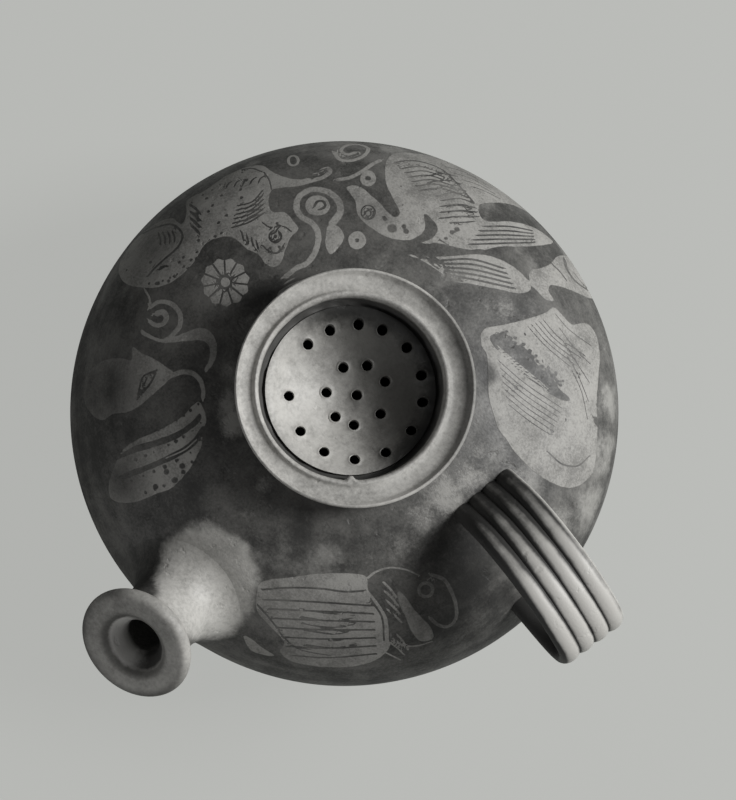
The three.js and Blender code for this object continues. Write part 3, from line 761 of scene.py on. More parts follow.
for washed_place, washed_radius, washed_amount in (
        ((300, 148), 6, 0.7), ((345, 144), 7, 0.8), ((390, 148), 7, 0.9),
        ((255, 160), 5, 0.7), ((215, 172), 5, 0.7),
        ((180, 196), 5, 0.6), ((148, 226), 4, 0.5), ((450, 270), 7, 0.5), ((440, 290), 6, 0.6),
        ((430, 152), 8, 0.9), ((465, 161), 8, 1.0), ((497, 175), 8, 1.0), ((524, 193), 8, 1.0),
        ((460, 205), 24, 0.5), ((520, 250), 14, 0.45), ((400, 265), 9, 0.5), ((345, 165), 12, 0.45),
        ((610, 400), 9, 1.0), ((604, 455), 10, 1.0), ((590, 505), 11, 1.0), ((606, 345), 7, 0.6),
        ((560, 525), 9, 0.9), ((575, 250), 9, 0.7), ((540, 200), 9, 0.6), ((535, 478), 7, 0.7),
        ((490, 470), 8, 0.7), ((450, 495), 8, 0.9), ((250, 572), 9, 0.8),
        ((320, 566), 9, 0.8), ((280, 560), 7, 0.6),
        ((390, 562), 8, 0.4), ((232, 395), 5, 0.7), ((232, 420), 5, 1.2),
        ((285, 290), 6, 0.4), ((90, 500), 6, 0.4)):
    spot(washed_spots, washed_place, washed_radius, washed_amount)
# Dark fire smoke in clouds, and painted shade in the handle's shadow, below the neck and on the dome's shaded
# left side
for smoke_shade_place, smoke_shade_radius, smoke_shade_amount in (
        ((472, 572), 14, 1.2), ((440, 625), 12, 0.8), ((495, 600), 9, 1.0), ((350, 522), 9, 0.65),
        ((300, 525), 8, 0.9), ((488, 425), 6, 0.8), ((487, 374), 5, 1.2),
        ((480, 335), 4, 0.7), ((150, 560), 8, 0.6),
        ((118, 470), 9, 0.7), ((92, 400), 11, 0.6), ((196, 486), 8, 0.8), ((128, 430), 8, 0.8),
        ((190, 392), 6, 0.5), ((235, 252), 6, 0.5), ((562, 322), 5, 0.5), ((588, 342), 5, 0.6),
        ((412, 225), 4, 0.5), ((505, 212), 5, 0.5), ((330, 672), 9, 0.6), ((260, 300), 5, 0.4)):
    spot(smoke_and_shade_spots, smoke_shade_place, smoke_shade_radius, smoke_shade_amount)

for paint_name, paint_values in (("figure", figures), ("worn", worn_spots), ("faded_and_shaded", faded_and_shaded_spots),
                                 ("washed", washed_spots), ("smoke_and_shade", smoke_and_shade_spots),
                                 ("pale_near", pale_lines["near"]), ("pale_side", pale_lines["side"]),
                                 ("dark_near", dark_lines["near"]), ("dark_side", dark_lines["side"])):
    paint_layer = shoulder.data.attributes.new(paint_name, "FLOAT", "POINT")
    paint_layer.data.foreach_set("value", paint_values.astype(np.float32))


# Where pouring has rubbed the slip off the spout's root and the dome behind it, as seen from above
RUB_RIGHT = -0.0365
RUB_UP = -0.0415
RUB_ACROSS = 0.0142
RUB_LENGTH = 0.0165
RUB_STAIN = (0.24, 0.235, 0.22, 1)
RUB_PALE = (0.56, 0.55, 0.52, 1)


def rubbed_root(place):
    right = (place.along(view_right) - RUB_RIGHT) * (1 / RUB_ACROSS)
    up = (place.along(view_up) - RUB_UP) * (1 / RUB_LENGTH)
    ragged = (place.grain(120, 6, 0.65) - 0.5) + 0.3 * (place.grain(700, 3, 0.7) - 0.5)
    return 1 - (right * right + up * up + ragged).eased(0.7, 1.2)


def line_mask(place, name):
    """1 on a layer's brush lines. Distance counts in half widths, and the near one ends each line."""
    ragged = 0.5 * (place.grain(700, 2) - 0.5)
    on_line = 1 - (abs(place.named(name + "_side")) + ragged).eased(0.8, 1.2)
    return on_line * (1 - place.named(name + "_near").eased(2.0, 2.6))


ground_colour, ground_rubbed = slip_ground(painted_place)
edge_grain = 0.5 * (painted_place.grain(500, 3) - 0.5)
figure_mask = 1 - (painted_place.named("figure") + edge_grain).eased(-0.14, 0.14)
paint_mask = figure_mask.larger(line_mask(painted_place, "pale")) * (1 - line_mask(painted_place, "dark"))
paint_cloud = painted_place.grain(90, 6, 0.7)
paint_speck = painted_place.grain(1500, 3, 0.7)
paint_loss = painted_place.grain(420, 5, 0.75).eased(0.56, 0.70)
paint_colour = (0.6 * paint_cloud + 0.4 * paint_speck).eased(0.34, 0.60).colour(PAINT_THIN, PAINT_PALE)
# Paint kept, less where it is worn, faded or thinned as painted shade
paint_kept = (1 - 0.5 * paint_loss) * (1 - 0.95 * painted_place.named("faded_and_shaded"))
washed_noise = 1.3 * (painted_place.grain(150, 6, 0.75) - 0.5)
washed_mask = (0.62 * painted_place.named("washed") + washed_noise).eased(0.2, 0.8)
washed_colour = (0.85 * washed_mask).colour(ground_colour, WASHED_SLIP)
painted_over = (paint_mask * paint_kept).colour(washed_colour, paint_colour)
# Smoke and painted shade darken slip and paint in these spots.
smoke_and_shade_noise = 1.1 * (painted_place.grain(110, 6, 0.72) - 0.5)
smoke_and_shade_mask = (0.6 * painted_place.named("smoke_and_shade") + smoke_and_shade_noise).eased(0.2, 0.75)
painted = (0.8 * smoke_and_shade_mask).colour(painted_over, SMOKE_AND_SHADE_SLIP)
worn_noise = 0.6 * painted_place.grain(300, 6, 0.75) + 0.4 * painted_place.grain(1100, 3, 0.7)
worn_mask = (0.8 * painted_place.named("worn") + 1.6 * (worn_noise - 0.5)).eased(0.30, 0.90)
worn_paint = (0.75 * worn_mask).colour(painted, WORN_CLAY)
rub_colour, rub_worn = clay_ground(painted_place, RUB_STAIN, RUB_PALE, 0.3, 0.6)
rubbed_root(painted_place).colour(worn_paint, rub_colour).into(painted_shader.inputs["Base Color"])
(0.60 - 0.15 * ground_rubbed + 0.12 * paint_mask).into(painted_shader.inputs["Roughness"])
paint_body = slip_surface(painted_place) + 0.12 * paint_mask - 0.2 * worn_mask
paint_body.bump(0.00035).into(painted_shader.inputs["Normal"])


# Neck collar: a short turned neck with a dished, beaded lip, of pale clay, with painted shade in its groove and
# under its lip.
# Its spigot is luted into the shoulder, and a ledge inside it carries the strainer.
MOUTH_RADIUS = 0.0256
NECK_RADIUS = 0.0288
SEAT_RADIUS = 0.0314
SPIGOT_RADIUS = 0.0278
LIP_RADIUS = 0.0336
LIP_TOP = 0.09315
LIP_UNDER = 0.08855
LIP_CHANNEL = 0.0019
LIP_BEAD = 0.0011
LEDGE_INNER = 0.0223
LEDGE_HEIGHT = 0.0841
GROOVE_INNER = 0.0240
GROOVE_FLOOR = 0.0868
LIP_OFF_CENTRE = 0.0012
SPIGOT_BOTTOM = 0.0804
NECK_STEPS = 192
# Colours, in turn: painted shade in the groove, stain, painted shade on the lip's right and the strainer,
# near-black painted shade at the strainer's edge, pale clay
NECK_GROOVE_SHADE = (0.03, 0.0295, 0.028, 1)
NECK_STAIN = (0.19, 0.186, 0.174, 1)
NECK_SIDE_SHADE = (0.045, 0.044, 0.040, 1)
NECK_DEEP_SHADE = (0.012, 0.012, 0.011, 1)
NECK_PALE = (0.57, 0.56, 0.53, 1)


def soft_curve(knots, share):
    """Points of a smooth line through a few knots, of any number of axes."""
    knots = [np.array(k, float) for k in knots]
    knots = [2 * knots[0] - knots[1]] + knots + [2 * knots[-1] - knots[-2]]
    line = []
    for before, a, b, after in zip(knots, knots[1:], knots[2:], knots[3:]):
        steps = [np.linalg.norm(q - p) ** 0.5 for p, q in ((before, a), (a, b), (b, after))]
        start_slope = (a - before) / steps[0] - (b - before) / (steps[0] + steps[1]) + (b - a) / steps[1]
        end_slope = (b - a) / steps[1] - (after - a) / (steps[1] + steps[2]) + (after - b) / steps[2]
        start_slope, end_slope = start_slope * steps[1], end_slope * steps[1]
        for step in range(share):
            t = step / share
            line.append(a + start_slope * t + (3 * (b - a) - 2 * start_slope - end_slope) * t ** 2
                        + (2 * (a - b) + start_slope + end_slope) * t ** 3)
    return line + [knots[-2]]


lip_floor = LIP_TOP - LIP_CHANNEL
seat_low = body_point(turn_at_radius(SEAT_RADIUS, 0), 0)[1]
lip_knots = [
    (GROOVE_INNER, GROOVE_FLOOR - 0.0006),
    (GROOVE_INNER + 0.0007, GROOVE_FLOOR),
    (MOUTH_RADIUS - 0.0002, GROOVE_FLOOR + 0.0012),
    (MOUTH_RADIUS + 0.1 * LIP_BEAD, lip_floor - 0.9 * LIP_BEAD),
    (MOUTH_RADIUS + 0.55 * LIP_BEAD, lip_floor + 0.4 * LIP_BEAD),
    (MOUTH_RADIUS + 1.2 * LIP_BEAD, lip_floor + 0.75 * LIP_BEAD),
    (MOUTH_RADIUS + 2.2 * LIP_BEAD, lip_floor - 0.05 * LIP_BEAD),
    (MOUTH_RADIUS + 3.6 * LIP_BEAD, lip_floor - 0.15 * LIP_BEAD),
    (LIP_RADIUS - 1.8 * LIP_BEAD, lip_floor + 0.35 * LIP_BEAD),
    (LIP_RADIUS - 1.05 * LIP_BEAD, LIP_TOP - 0.55 * LIP_BEAD),
    (LIP_RADIUS - 0.6 * LIP_BEAD, LIP_TOP),
    (LIP_RADIUS - 0.15 * LIP_BEAD, LIP_TOP - 0.2 * LIP_BEAD),
    (LIP_RADIUS, LIP_TOP - 0.9 * LIP_BEAD),
    (LIP_RADIUS - 0.0006, LIP_TOP - 0.0024),
    ((LIP_RADIUS + NECK_RADIUS) / 2, LIP_UNDER + 0.0009),
    (NECK_RADIUS, LIP_UNDER - 0.0011),
    (SEAT_RADIUS - 0.0012, seat_low + 0.0012),
    (SEAT_RADIUS, seat_low),
]
neck_outline = [(LEDGE_INNER, SPIGOT_BOTTOM), (LEDGE_INNER, LEDGE_HEIGHT), (GROOVE_INNER, LEDGE_HEIGHT)]
neck_outline += [tuple(p) for p in soft_curve(lip_knots, 6)]
neck_outline += [(SPIGOT_RADIUS, body_point(turn_at_radius(SPIGOT_RADIUS, 0), 0)[1] - 0.0002),
                 (SPIGOT_RADIUS, SPIGOT_BOTTOM)]
neck_mesh = spun(neck_outline, NECK_STEPS)
hand_made(neck_mesh, 0.0003, 45)
# The lip was thrown a little off centre, and slip is smeared in the groove on one side
SMEAR_TURN = math.radians(173)
SMEAR_WIDTH = math.radians(26)
# A nub of clay left on the lip's inner edge, at the bottom of the picture
NUB_TURN = math.atan2(-picture_up.y, -picture_up.x)
NUB_WIDTH = math.radians(2.2)
NUB_REACH = 0.0015
for vert in neck_mesh.verts:
    out = vert.co.xy.length
    lip_share = min(max((out - MOUTH_RADIUS) / (LIP_RADIUS - MOUTH_RADIUS), 0), 1)
    high_share = min(max((vert.co.z - LIP_UNDER) / 0.001, 0), 1)
    turn = math.atan2(vert.co.y, vert.co.x)
    off_smear = (turn - SMEAR_TURN + math.pi) % (2 * math.pi) - math.pi
    if GROOVE_INNER - 1e-4 < out < MOUTH_RADIUS and GROOVE_FLOOR - 0.001 < vert.co.z < GROOVE_FLOOR + 0.0016:
        lumps = noise.noise(vert.co * 300)
        vert.co.z += 0.0016 * math.exp(-(off_smear / SMEAR_WIDTH) ** 2) * (0.75 + 0.5 * lumps) + 0.0005 * lumps
    if abs(out - MOUTH_RADIUS) < 0.0014 and vert.co.z > LIP_UNDER:
        off_nub = (turn - NUB_TURN + math.pi) % (2 * math.pi) - math.pi
        vert.co.xy *= 1 - NUB_REACH * math.exp(-(off_nub / NUB_WIDTH) ** 2) / out
    vert.co += picture_right * LIP_OFF_CENTRE * lip_share * high_share

neck_finish, neck_shader, neck_place = new_finish("pale_clay")
neck_colour, neck_worn = clay_ground(neck_place, NECK_STAIN, NECK_PALE, 0.28, 0.62)
# Painted shade: the collar is darkened below its lip's channel, in the groove, the throat and under the lip.
groove_shade_height = neck_place.along(straight_up) + 0.003 * (neck_place.grain(140, 5, 0.65) - 0.5)
groove_shade = 1 - groove_shade_height.eased(0.0893, 0.0912)
# Painted shade: the collar's right side, where the lip's channel faces away from the lamp, is darkened.
neck_across = neck_place.along(picture_right) + 0.02 * (neck_place.grain(110, 6, 0.7) - 0.5)
neck_shaded_side = neck_across.eased(0.012, 0.040)
neck_side_shaded = (0.7 * neck_shaded_side).colour(neck_colour, NECK_SIDE_SHADE)
(0.92 * groove_shade).colour(neck_side_shaded, NECK_GROOVE_SHADE).into(neck_shader.inputs["Base Color"])
(0.78 - 0.2 * neck_worn).into(neck_shader.inputs["Roughness"])
slip_surface(neck_place).bump(0.0003).into(neck_shader.inputs["Normal"])
neck = shown("neck_collar_turned", neck_mesh, neck_finish)
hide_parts("neck_collar")


# Strainer: a thin dish of clay pressed over a mould and pricked from above with a stick.
# It lies on the neck's ledge. A middle hole and two rings of holes let the drink through; one is blind.
STRAINER_RADIUS = 0.0237
STRAINER_EDGE = 0.08875
STRAINER_CURVE = 0.030
STRAINER_THICK = 0.0026
HOLE_SIDES = 20
# Each ring's radius, how far it lies off centre, and the turns at which it was pricked by eye, in degrees
OUTER_HOLES = (0.0189, 0.0016, (5, 31, 54, 82, 107, 128, 153, 175, 223, 256, 282, 309, 336))
INNER_HOLES = (0.0087, 0.0021, (1, 66, 110, 158, 215, 266, 305))
BLIND_TURN = 197
HOLE_STRAY = 0.0004
DISH_CUTS = 36
# Rings of clay pushed up round each hole, as (radius, height)
HOLE_BURR = ((0.0021, 0.0), (0.0018, 0.00022), (0.0016, 0.0003), (0.00145, 0.0001))
EDGE_DROOP = 0.0013
EDGE_START = 0.0221
STRAINER_PALE = (0.54, 0.53, 0.50, 1)
# Where the painted shade on the strainer's right side starts, and how softly it spreads
SHADE_SIDE = -0.003
SHADE_SPREAD = 0.013

strainer_middle = STRAINER_EDGE + math.sqrt(STRAINER_CURVE ** 2 - STRAINER_RADIUS ** 2)
hole_places = [tuple(picture_right.xy * INNER_HOLES[1])]
for ring_radius, off_centre, ring_turns in (OUTER_HOLES, INNER_HOLES):
    for ring_turn in ring_turns:
        stray_at = Vector((ring_turn, ring_radius * MM, 0.5))
        stray = Vector((noise.noise(stray_at), noise.noise(stray_at + Vector((0, 0, 31.4))))) * HOLE_STRAY
        hole_turn = math.radians(ring_turn)
        hole_places.append((ring_radius * math.cos(hole_turn) + picture_right.x * off_centre + stray.x,
                            ring_radius * math.sin(hole_turn) + picture_right.y * off_centre + stray.y))
blind_place = (OUTER_HOLES[0] * math.cos(math.radians(BLIND_TURN)),
               OUTER_HOLES[0] * math.sin(math.radians(BLIND_TURN)))



def ring_plan(place, radius, count):
    """Points round a circle of the strainer's plan."""
    turns = [2 * math.pi * step / count for step in range(count)]
    return [Vector((place[0] + radius * math.cos(t), place[1] + radius * math.sin(t))) for t in turns]


# The plan, cut into triangles between the rim, the holes and a square grid that lets it be dished
plan_points = []
plan_edges = []
for ring_place, ring_radius, ring_count in ([((0, 0), STRAINER_RADIUS, NECK_STEPS)]
                                            + [(place, HOLE_BURR[0][0], HOLE_SIDES) for place in hole_places]):
    first = len(plan_points)
    plan_points += ring_plan(ring_place, ring_radius, ring_count)
    plan_edges += [(first + step, first + (step + 1) % ring_count) for step in range(ring_count)]
grid_step = 2 * STRAINER_RADIUS / DISH_CUTS
for column in range(1, DISH_CUTS):
    for row in range(1, DISH_CUTS):
        grid_point = Vector((column * grid_step - STRAINER_RADIUS, row * grid_step - STRAINER_RADIUS))
        clear_of_holes = all((grid_point - Vector(place)).length > HOLE_BURR[0][0] + 0.35 * grid_step
                             for place in hole_places)
        if clear_of_holes and grid_point.length < STRAINER_RADIUS - 0.5 * grid_step:
            plan_points.append(grid_point)
plan = geometry.delaunay_2d_cdt(plan_points, plan_edges, [], 0, 1e-7)
strainer_mesh = bmesh.new()
plan_verts = [strainer_mesh.verts.new((*point, 0)) for point in plan[0]]
for corners in plan[2]:
    centre = sum((plan[0][corner] for corner in corners), Vector((0, 0))) / 3
    if all((centre - Vector(place)).length > 0.982 * HOLE_BURR[0][0] for place in hole_places):
        strainer_mesh.faces.new([plan_verts[corner] for corner in corners])
for hole_place in hole_places:
    middle = Vector((*hole_place, 0))
    rim = [e for e in strainer_mesh.edges if e.is_boundary
           and all((v.co - middle).length < 1.2 * HOLE_BURR[0][0] for v in e.verts)]
    for burr_radius, burr_height in HOLE_BURR[1:]:
        rim_made = bmesh.ops.extrude_edge_only(strainer_mesh, edges=rim)["geom"]
        rim = [item for item in rim_made if isinstance(item, bmesh.types.BMEdge)]
        for vert in {v for e in rim for v in e.verts}:
            outwards = (vert.co - middle)
            outwards.z = 0
            vert.co = middle + outwards.normalized() * burr_radius + straight_up * burr_height
bmesh.ops.recalc_face_normals(strainer_mesh, faces=strainer_mesh.faces)
if sum(face.normal.z for face in strainer_mesh.faces) < 0:
    bmesh.ops.reverse_faces(strainer_mesh, faces=strainer_mesh.faces)
for vert in strainer_mesh.verts:
    flat_radius = math.hypot(vert.co.x, vert.co.y)
    dimple = math.exp(-((vert.co.x - blind_place[0]) ** 2 + (vert.co.y - blind_place[1]) ** 2) / 0.0014 ** 2)
    pressed = 0.0003 * noise.noise(Vector((vert.co.x, vert.co.y, 0)) * 160)
    droop = EDGE_DROOP * max((flat_radius - EDGE_START) / (STRAINER_RADIUS - EDGE_START), 0) ** 2
    vert.co.z += strainer_middle - math.sqrt(STRAINER_CURVE ** 2 - flat_radius ** 2) + pressed
    vert.co.z -= 0.0011 * dimple + droop
strainer_top = strainer_mesh.faces[:]
strainer_below = bmesh.ops.extrude_face_region(strainer_mesh, geom=strainer_top)
for item in strainer_below["geom"]:
    if isinstance(item, bmesh.types.BMVert):
        item.co.z -= STRAINER_THICK
bmesh.ops.recalc_face_normals(strainer_mesh, faces=strainer_mesh.faces)

strainer_finish, strainer_shader, strainer_place = new_finish("strainer_clay")
strainer_colour, strainer_worn = clay_ground(strainer_place, NECK_STAIN, STRAINER_PALE, 0.25, 0.62)
# Painted shade: the strainer's right and upper part, where the lip's shadow falls, is darkened, and a
# near-black band of painted shade lines its edge on that side.
shade_cloud = 0.012 * (strainer_place.grain(130, 6, 0.7) - 0.5)
shade_cloud = shade_cloud + 0.006 * (strainer_place.grain(600, 3, 0.7) - 0.5)
strainer_right = strainer_place.along(picture_right)
strainer_up = strainer_place.along(picture_up)
shade_from = strainer_right + 0.5 * strainer_up + shade_cloud
strainer_shade = shade_from.eased(SHADE_SIDE - SHADE_SPREAD, SHADE_SIDE + SHADE_SPREAD)
strainer_out = strainer_right * strainer_right + strainer_up * strainer_up + 0.02 * shade_cloud
strainer_edge_shade = strainer_out.eased(0.0175 ** 2, 0.0222 ** 2) * shade_from.eased(-0.012, 0.010)
strainer_shaded_colour = (0.88 * strainer_shade).colour(strainer_colour, NECK_SIDE_SHADE)
(0.95 * strainer_edge_shade).colour(strainer_shaded_colour, NECK_DEEP_SHADE).into(strainer_shader.inputs["Base Color"])
(0.72 - 0.18 * strainer_worn).into(strainer_shader.inputs["Roughness"])
slip_surface(strainer_place).bump(0.0003).into(strainer_shader.inputs["Normal"])
strainer = shown("strainer_dish", strainer_mesh, strainer_finish)
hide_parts("strainer")


# Spout: a small trumpet thrown on its own, with a flat disc of a lip, luted over a hole in the shoulder.
# The clay was drawn out thin round its root to blend it into the dome, and years of pouring wore it pale.
SPOUT_LIP_RADIUS = 0.01675
SPOUT_LIP_THICK = 0.005
SPOUT_LIP_ROUND = 0.0011
SPOUT_MOUTH_RADIUS = 0.0092
SPOUT_MOUTH_DEPTH = 0.0056
SPOUT_STEM = 0.0114
SPOUT_STEPS = 128
SPOUT_SKIRT = 0.0225
SKIRT_ROWS = 16
SKIRT_RISE = 0.0105
TENON_RADIUS = 0.008
TENON_END = 0.0323
# Painted shade and a painted lit patch for the inside of the spout's mouth
SPOUT_MOUTH_SHADE = (0.05, 0.049, 0.046, 1)
SPOUT_MOUTH_LIT = (0.80, 0.79, 0.76, 1)
SPOUT_LIP_STAIN = (0.20, 0.196, 0.184, 1)
SPOUT_LIP_PALE = (0.52, 0.51, 0.48, 1)


def dome_station(across, along_turn):
    """How far back along the spout's axis, from its mouth, the dome lies at this radius and turn about it."""
    offset = spout_turn @ Vector((across * math.cos(along_turn), across * math.sin(along_turn), 0))
    size = Vector((BODY_RADIUS, BODY_RADIUS, DOME_RISE))
    start = spout_mouth + offset - belly_middle
    start = Vector(a / b for a, b in zip(start, size))
    ray = Vector(a / b for a, b in zip(spout_axis, size))
    square, half = ray.dot(ray), ray.dot(start)
    spare = max(half * half - square * (start.dot(start) - 1), 0)
    return (-half + math.sqrt(spare)) / square


spout_knots = [
    (SPOUT_MOUTH_RADIUS + 0.0012, -0.0002),
    (SPOUT_LIP_RADIUS - 2.6 * SPOUT_LIP_ROUND, 0),
    (SPOUT_LIP_RADIUS - 0.8 * SPOUT_LIP_ROUND, -0.4 * SPOUT_LIP_ROUND),
    (SPOUT_LIP_RADIUS, -0.45 * SPOUT_LIP_THICK),
    (SPOUT_LIP_RADIUS - 0.9 * SPOUT_LIP_ROUND, -0.92 * SPOUT_LIP_THICK),
    (SPOUT_STEM + 0.0018, -SPOUT_LIP_THICK - 0.001),
    (SPOUT_STEM, -SPOUT_LIP_THICK - 0.0042),
]
spout_outline = [(SPOUT_MOUTH_RADIUS, -SPOUT_LIP_ROUND)] + [tuple(p) for p in soft_curve(spout_knots, 6)]
spout_stem_row = len(spout_outline)
for skirt_row in range(SKIRT_ROWS + 1):
    skirt_share = skirt_row / SKIRT_ROWS
    skirt_out = SPOUT_STEM + (SPOUT_SKIRT - SPOUT_STEM) * skirt_share ** 1.6
    spout_outline.append((skirt_out, -0.011 - 0.012 * skirt_share))
spout_outline += [(SPOUT_SKIRT - 0.002, -0.026), (TENON_RADIUS, -0.027), (TENON_RADIUS, -TENON_END),
                  (SPOUT_BORE, -TENON_END), (SPOUT_BORE, -SPOUT_MOUTH_DEPTH - 0.001),
                  (SPOUT_BORE + 0.0007, -SPOUT_MOUTH_DEPTH + 0.001),
                  (SPOUT_MOUTH_RADIUS - 0.0012, -0.4 * SPOUT_MOUTH_DEPTH)]
spout_mesh = spun(spout_outline, SPOUT_STEPS)
skirt_heights = {}
for skirt_row in range(SKIRT_ROWS + 1):
    skirt_share = skirt_row / SKIRT_ROWS
    skirt_heights[round(-0.011 - 0.012 * skirt_share, 7)] = SKIRT_RISE * (1 - skirt_share) ** 2.4 - 0.0003
stem_foot = -SPOUT_LIP_THICK - 0.0042
for vert in spout_mesh.verts:
    across = math.hypot(vert.co.x, vert.co.y)
    station = round(vert.co.z, 7)
    if station in skirt_heights and across > TENON_RADIUS + 0.001:
        met = dome_station(across, math.atan2(vert.co.y, vert.co.x))
        vert.co.z = min(met + skirt_heights[station], stem_foot)
    elif abs(vert.co.z + 0.026) < 1e-6 or (abs(vert.co.z + 0.027) < 1e-6):
        met = dome_station(across, math.atan2(vert.co.y, vert.co.x))
        vert.co.z = met - 0.0012
bmesh.ops.transform(spout_mesh, matrix=Matrix.Translation(spout_mouth) @ spout_turn, verts=spout_mesh.verts)
bmesh.ops.recalc_face_normals(spout_mesh, faces=spout_mesh.faces)

spout_finish, spout_shader, spout_place = new_finish("spout_clay")
spout_slip, spout_slip_rubbed = slip_ground(spout_place)
spout_pale, spout_worn = clay_ground(spout_place, RUB_STAIN, RUB_PALE, 0.3, 0.6)
spout_root_colour = rubbed_root(spout_place).colour(spout_slip, spout_pale)
spout_lip_colour, spout_lip_worn = clay_ground(spout_place, SPOUT_LIP_STAIN, SPOUT_LIP_PALE, 0.28, 0.70)
lip_at = spout_mouth.dot(spout_axis)
lip_from = spout_place.along(spout_axis) + 0.003 * (spout_place.grain(120, 5, 0.65) - 0.5)
lip_mask = lip_from.eased(lip_at - 0.0085, lip_at - 0.0062)
lip_right = (view_right - spout_axis * view_right.dot(spout_axis)).normalized()
lip_up = spout_axis.cross(lip_right)
# Painted light and shade on the lip's face: a lit patch on the mouth's left inner wall and shade on its right,
# a ring of painted shade round the mouth, and painted shade along the lip's lower left edge.
mouth_right = spout_place.along(lip_right) - spout_mouth.dot(lip_right)
mouth_up = spout_place.along(lip_up) - spout_mouth.dot(lip_up)
mouth_out = mouth_right * mouth_right + mouth_up * mouth_up
mouth_out = mouth_out + 0.00002 * (spout_place.grain(300, 4, 0.7) - 0.5)
mouth_lit = 1 - (mouth_right + 0.006 * (spout_place.grain(190, 5, 0.7) - 0.5)).eased(-0.0045, 0.0025)
mouth_light_and_shade = mouth_lit.colour(SPOUT_MOUTH_SHADE, SPOUT_MOUTH_LIT)
mouth_ring_shade = mouth_out.eased(0.0080 ** 2, 0.0090 ** 2) * (1 - mouth_out.eased(0.0094 ** 2, 0.0112 ** 2))
lip_lit_side = (0.5 * mouth_right + 0.85 * mouth_up).eased(-0.007, 0.008)
lip_edge_shade = mouth_out.eased(0.0130 ** 2, 0.0163 ** 2) * (1 - lip_lit_side)
ring_shaded_lip = (0.6 * mouth_ring_shade).colour(spout_lip_colour, SPOUT_MOUTH_SHADE)
edge_shaded_lip = (0.85 * lip_edge_shade).colour(ring_shaded_lip, SPOUT_MOUTH_SHADE)
inside_mouth = 1 - mouth_out.eased(0.0078 ** 2, 0.0088 ** 2)
lip_front_colour = inside_mouth.colour(edge_shaded_lip, mouth_light_and_shade)
lip_mask.colour(spout_root_colour, lip_front_colour).into(spout_shader.inputs["Base Color"])
(0.7 - 0.16 * spout_worn).into(spout_shader.inputs["Roughness"])
slip_surface(spout_place).bump(0.0003).into(spout_shader.inputs["Normal"])
spout = shown("spout_trumpet", spout_mesh, spout_finish)
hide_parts("spout")


# Handle: four rolled reeds of clay laid side by side and pressed together into a strap.
# They spring from the dome near the neck, arch out past the belly and come back to the shoulder low down.
REED_COUNT = 4
REED_PITCH = 0.005
REED_HALF_WIDTH = 0.0032
REED_HALF_HEIGHT = 0.00215
REED_SIDES = 20
REED_SHARE = 16
HANDLE_HEADING = math.radians(-13.3)
HANDLE_OFFSET = 0.0135
# The arch, as (distance out along its heading, height)
ARCH = [(0.0394, 0.0708), (0.0568, 0.0931), (0.0760, 0.0974), (0.0928, 0.0875), (0.0928, 0.0701),
        (0.0713, 0.0560)]
# Reed colours: dark for the grooves and painted shade, pale for the crests, partly rubbed and partly painted
# lit
REED_DARK_SHADE = (0.03, 0.0295, 0.028, 1)
REED_PALE_WORN_LIT = (0.50, 0.49, 0.463, 1)
# Shares of the arch, from its upper root, over which the painted shade on the reeds fades out
ROOT_SHADE_FROM = 0.12
ROOT_SHADE_OVER = 0.38

handle_out = Vector((math.cos(HANDLE_HEADING), math.sin(HANDLE_HEADING), 0))
handle_side = Vector((-handle_out.y, handle_out.x, 0))
arch_line = soft_curve(ARCH, REED_SHARE)

reed_finish, reed_shader, reed_place = new_finish("reed_clay")
# Each reed is pale along its crest, partly worn and partly painted light on its top, and dark with painted
# shade on its sides and in the grooves.
reed_light_and_wear = reed_place.named("crest_wear_light")
reed_cloud = reed_place.grain(150, 5, 0.65)
reed_wear_shade = (reed_light_and_wear + 0.25 * (reed_cloud - 0.5)).eased(0.63, 0.86)
reed_wear_shade.colour(REED_DARK_SHADE, REED_PALE_WORN_LIT).into(reed_shader.inputs["Base Color"])
(0.62 - 0.12 * reed_wear_shade).into(reed_shader.inputs["Roughness"])
slip_surface(reed_place).bump(0.0003).into(reed_shader.inputs["Normal"])

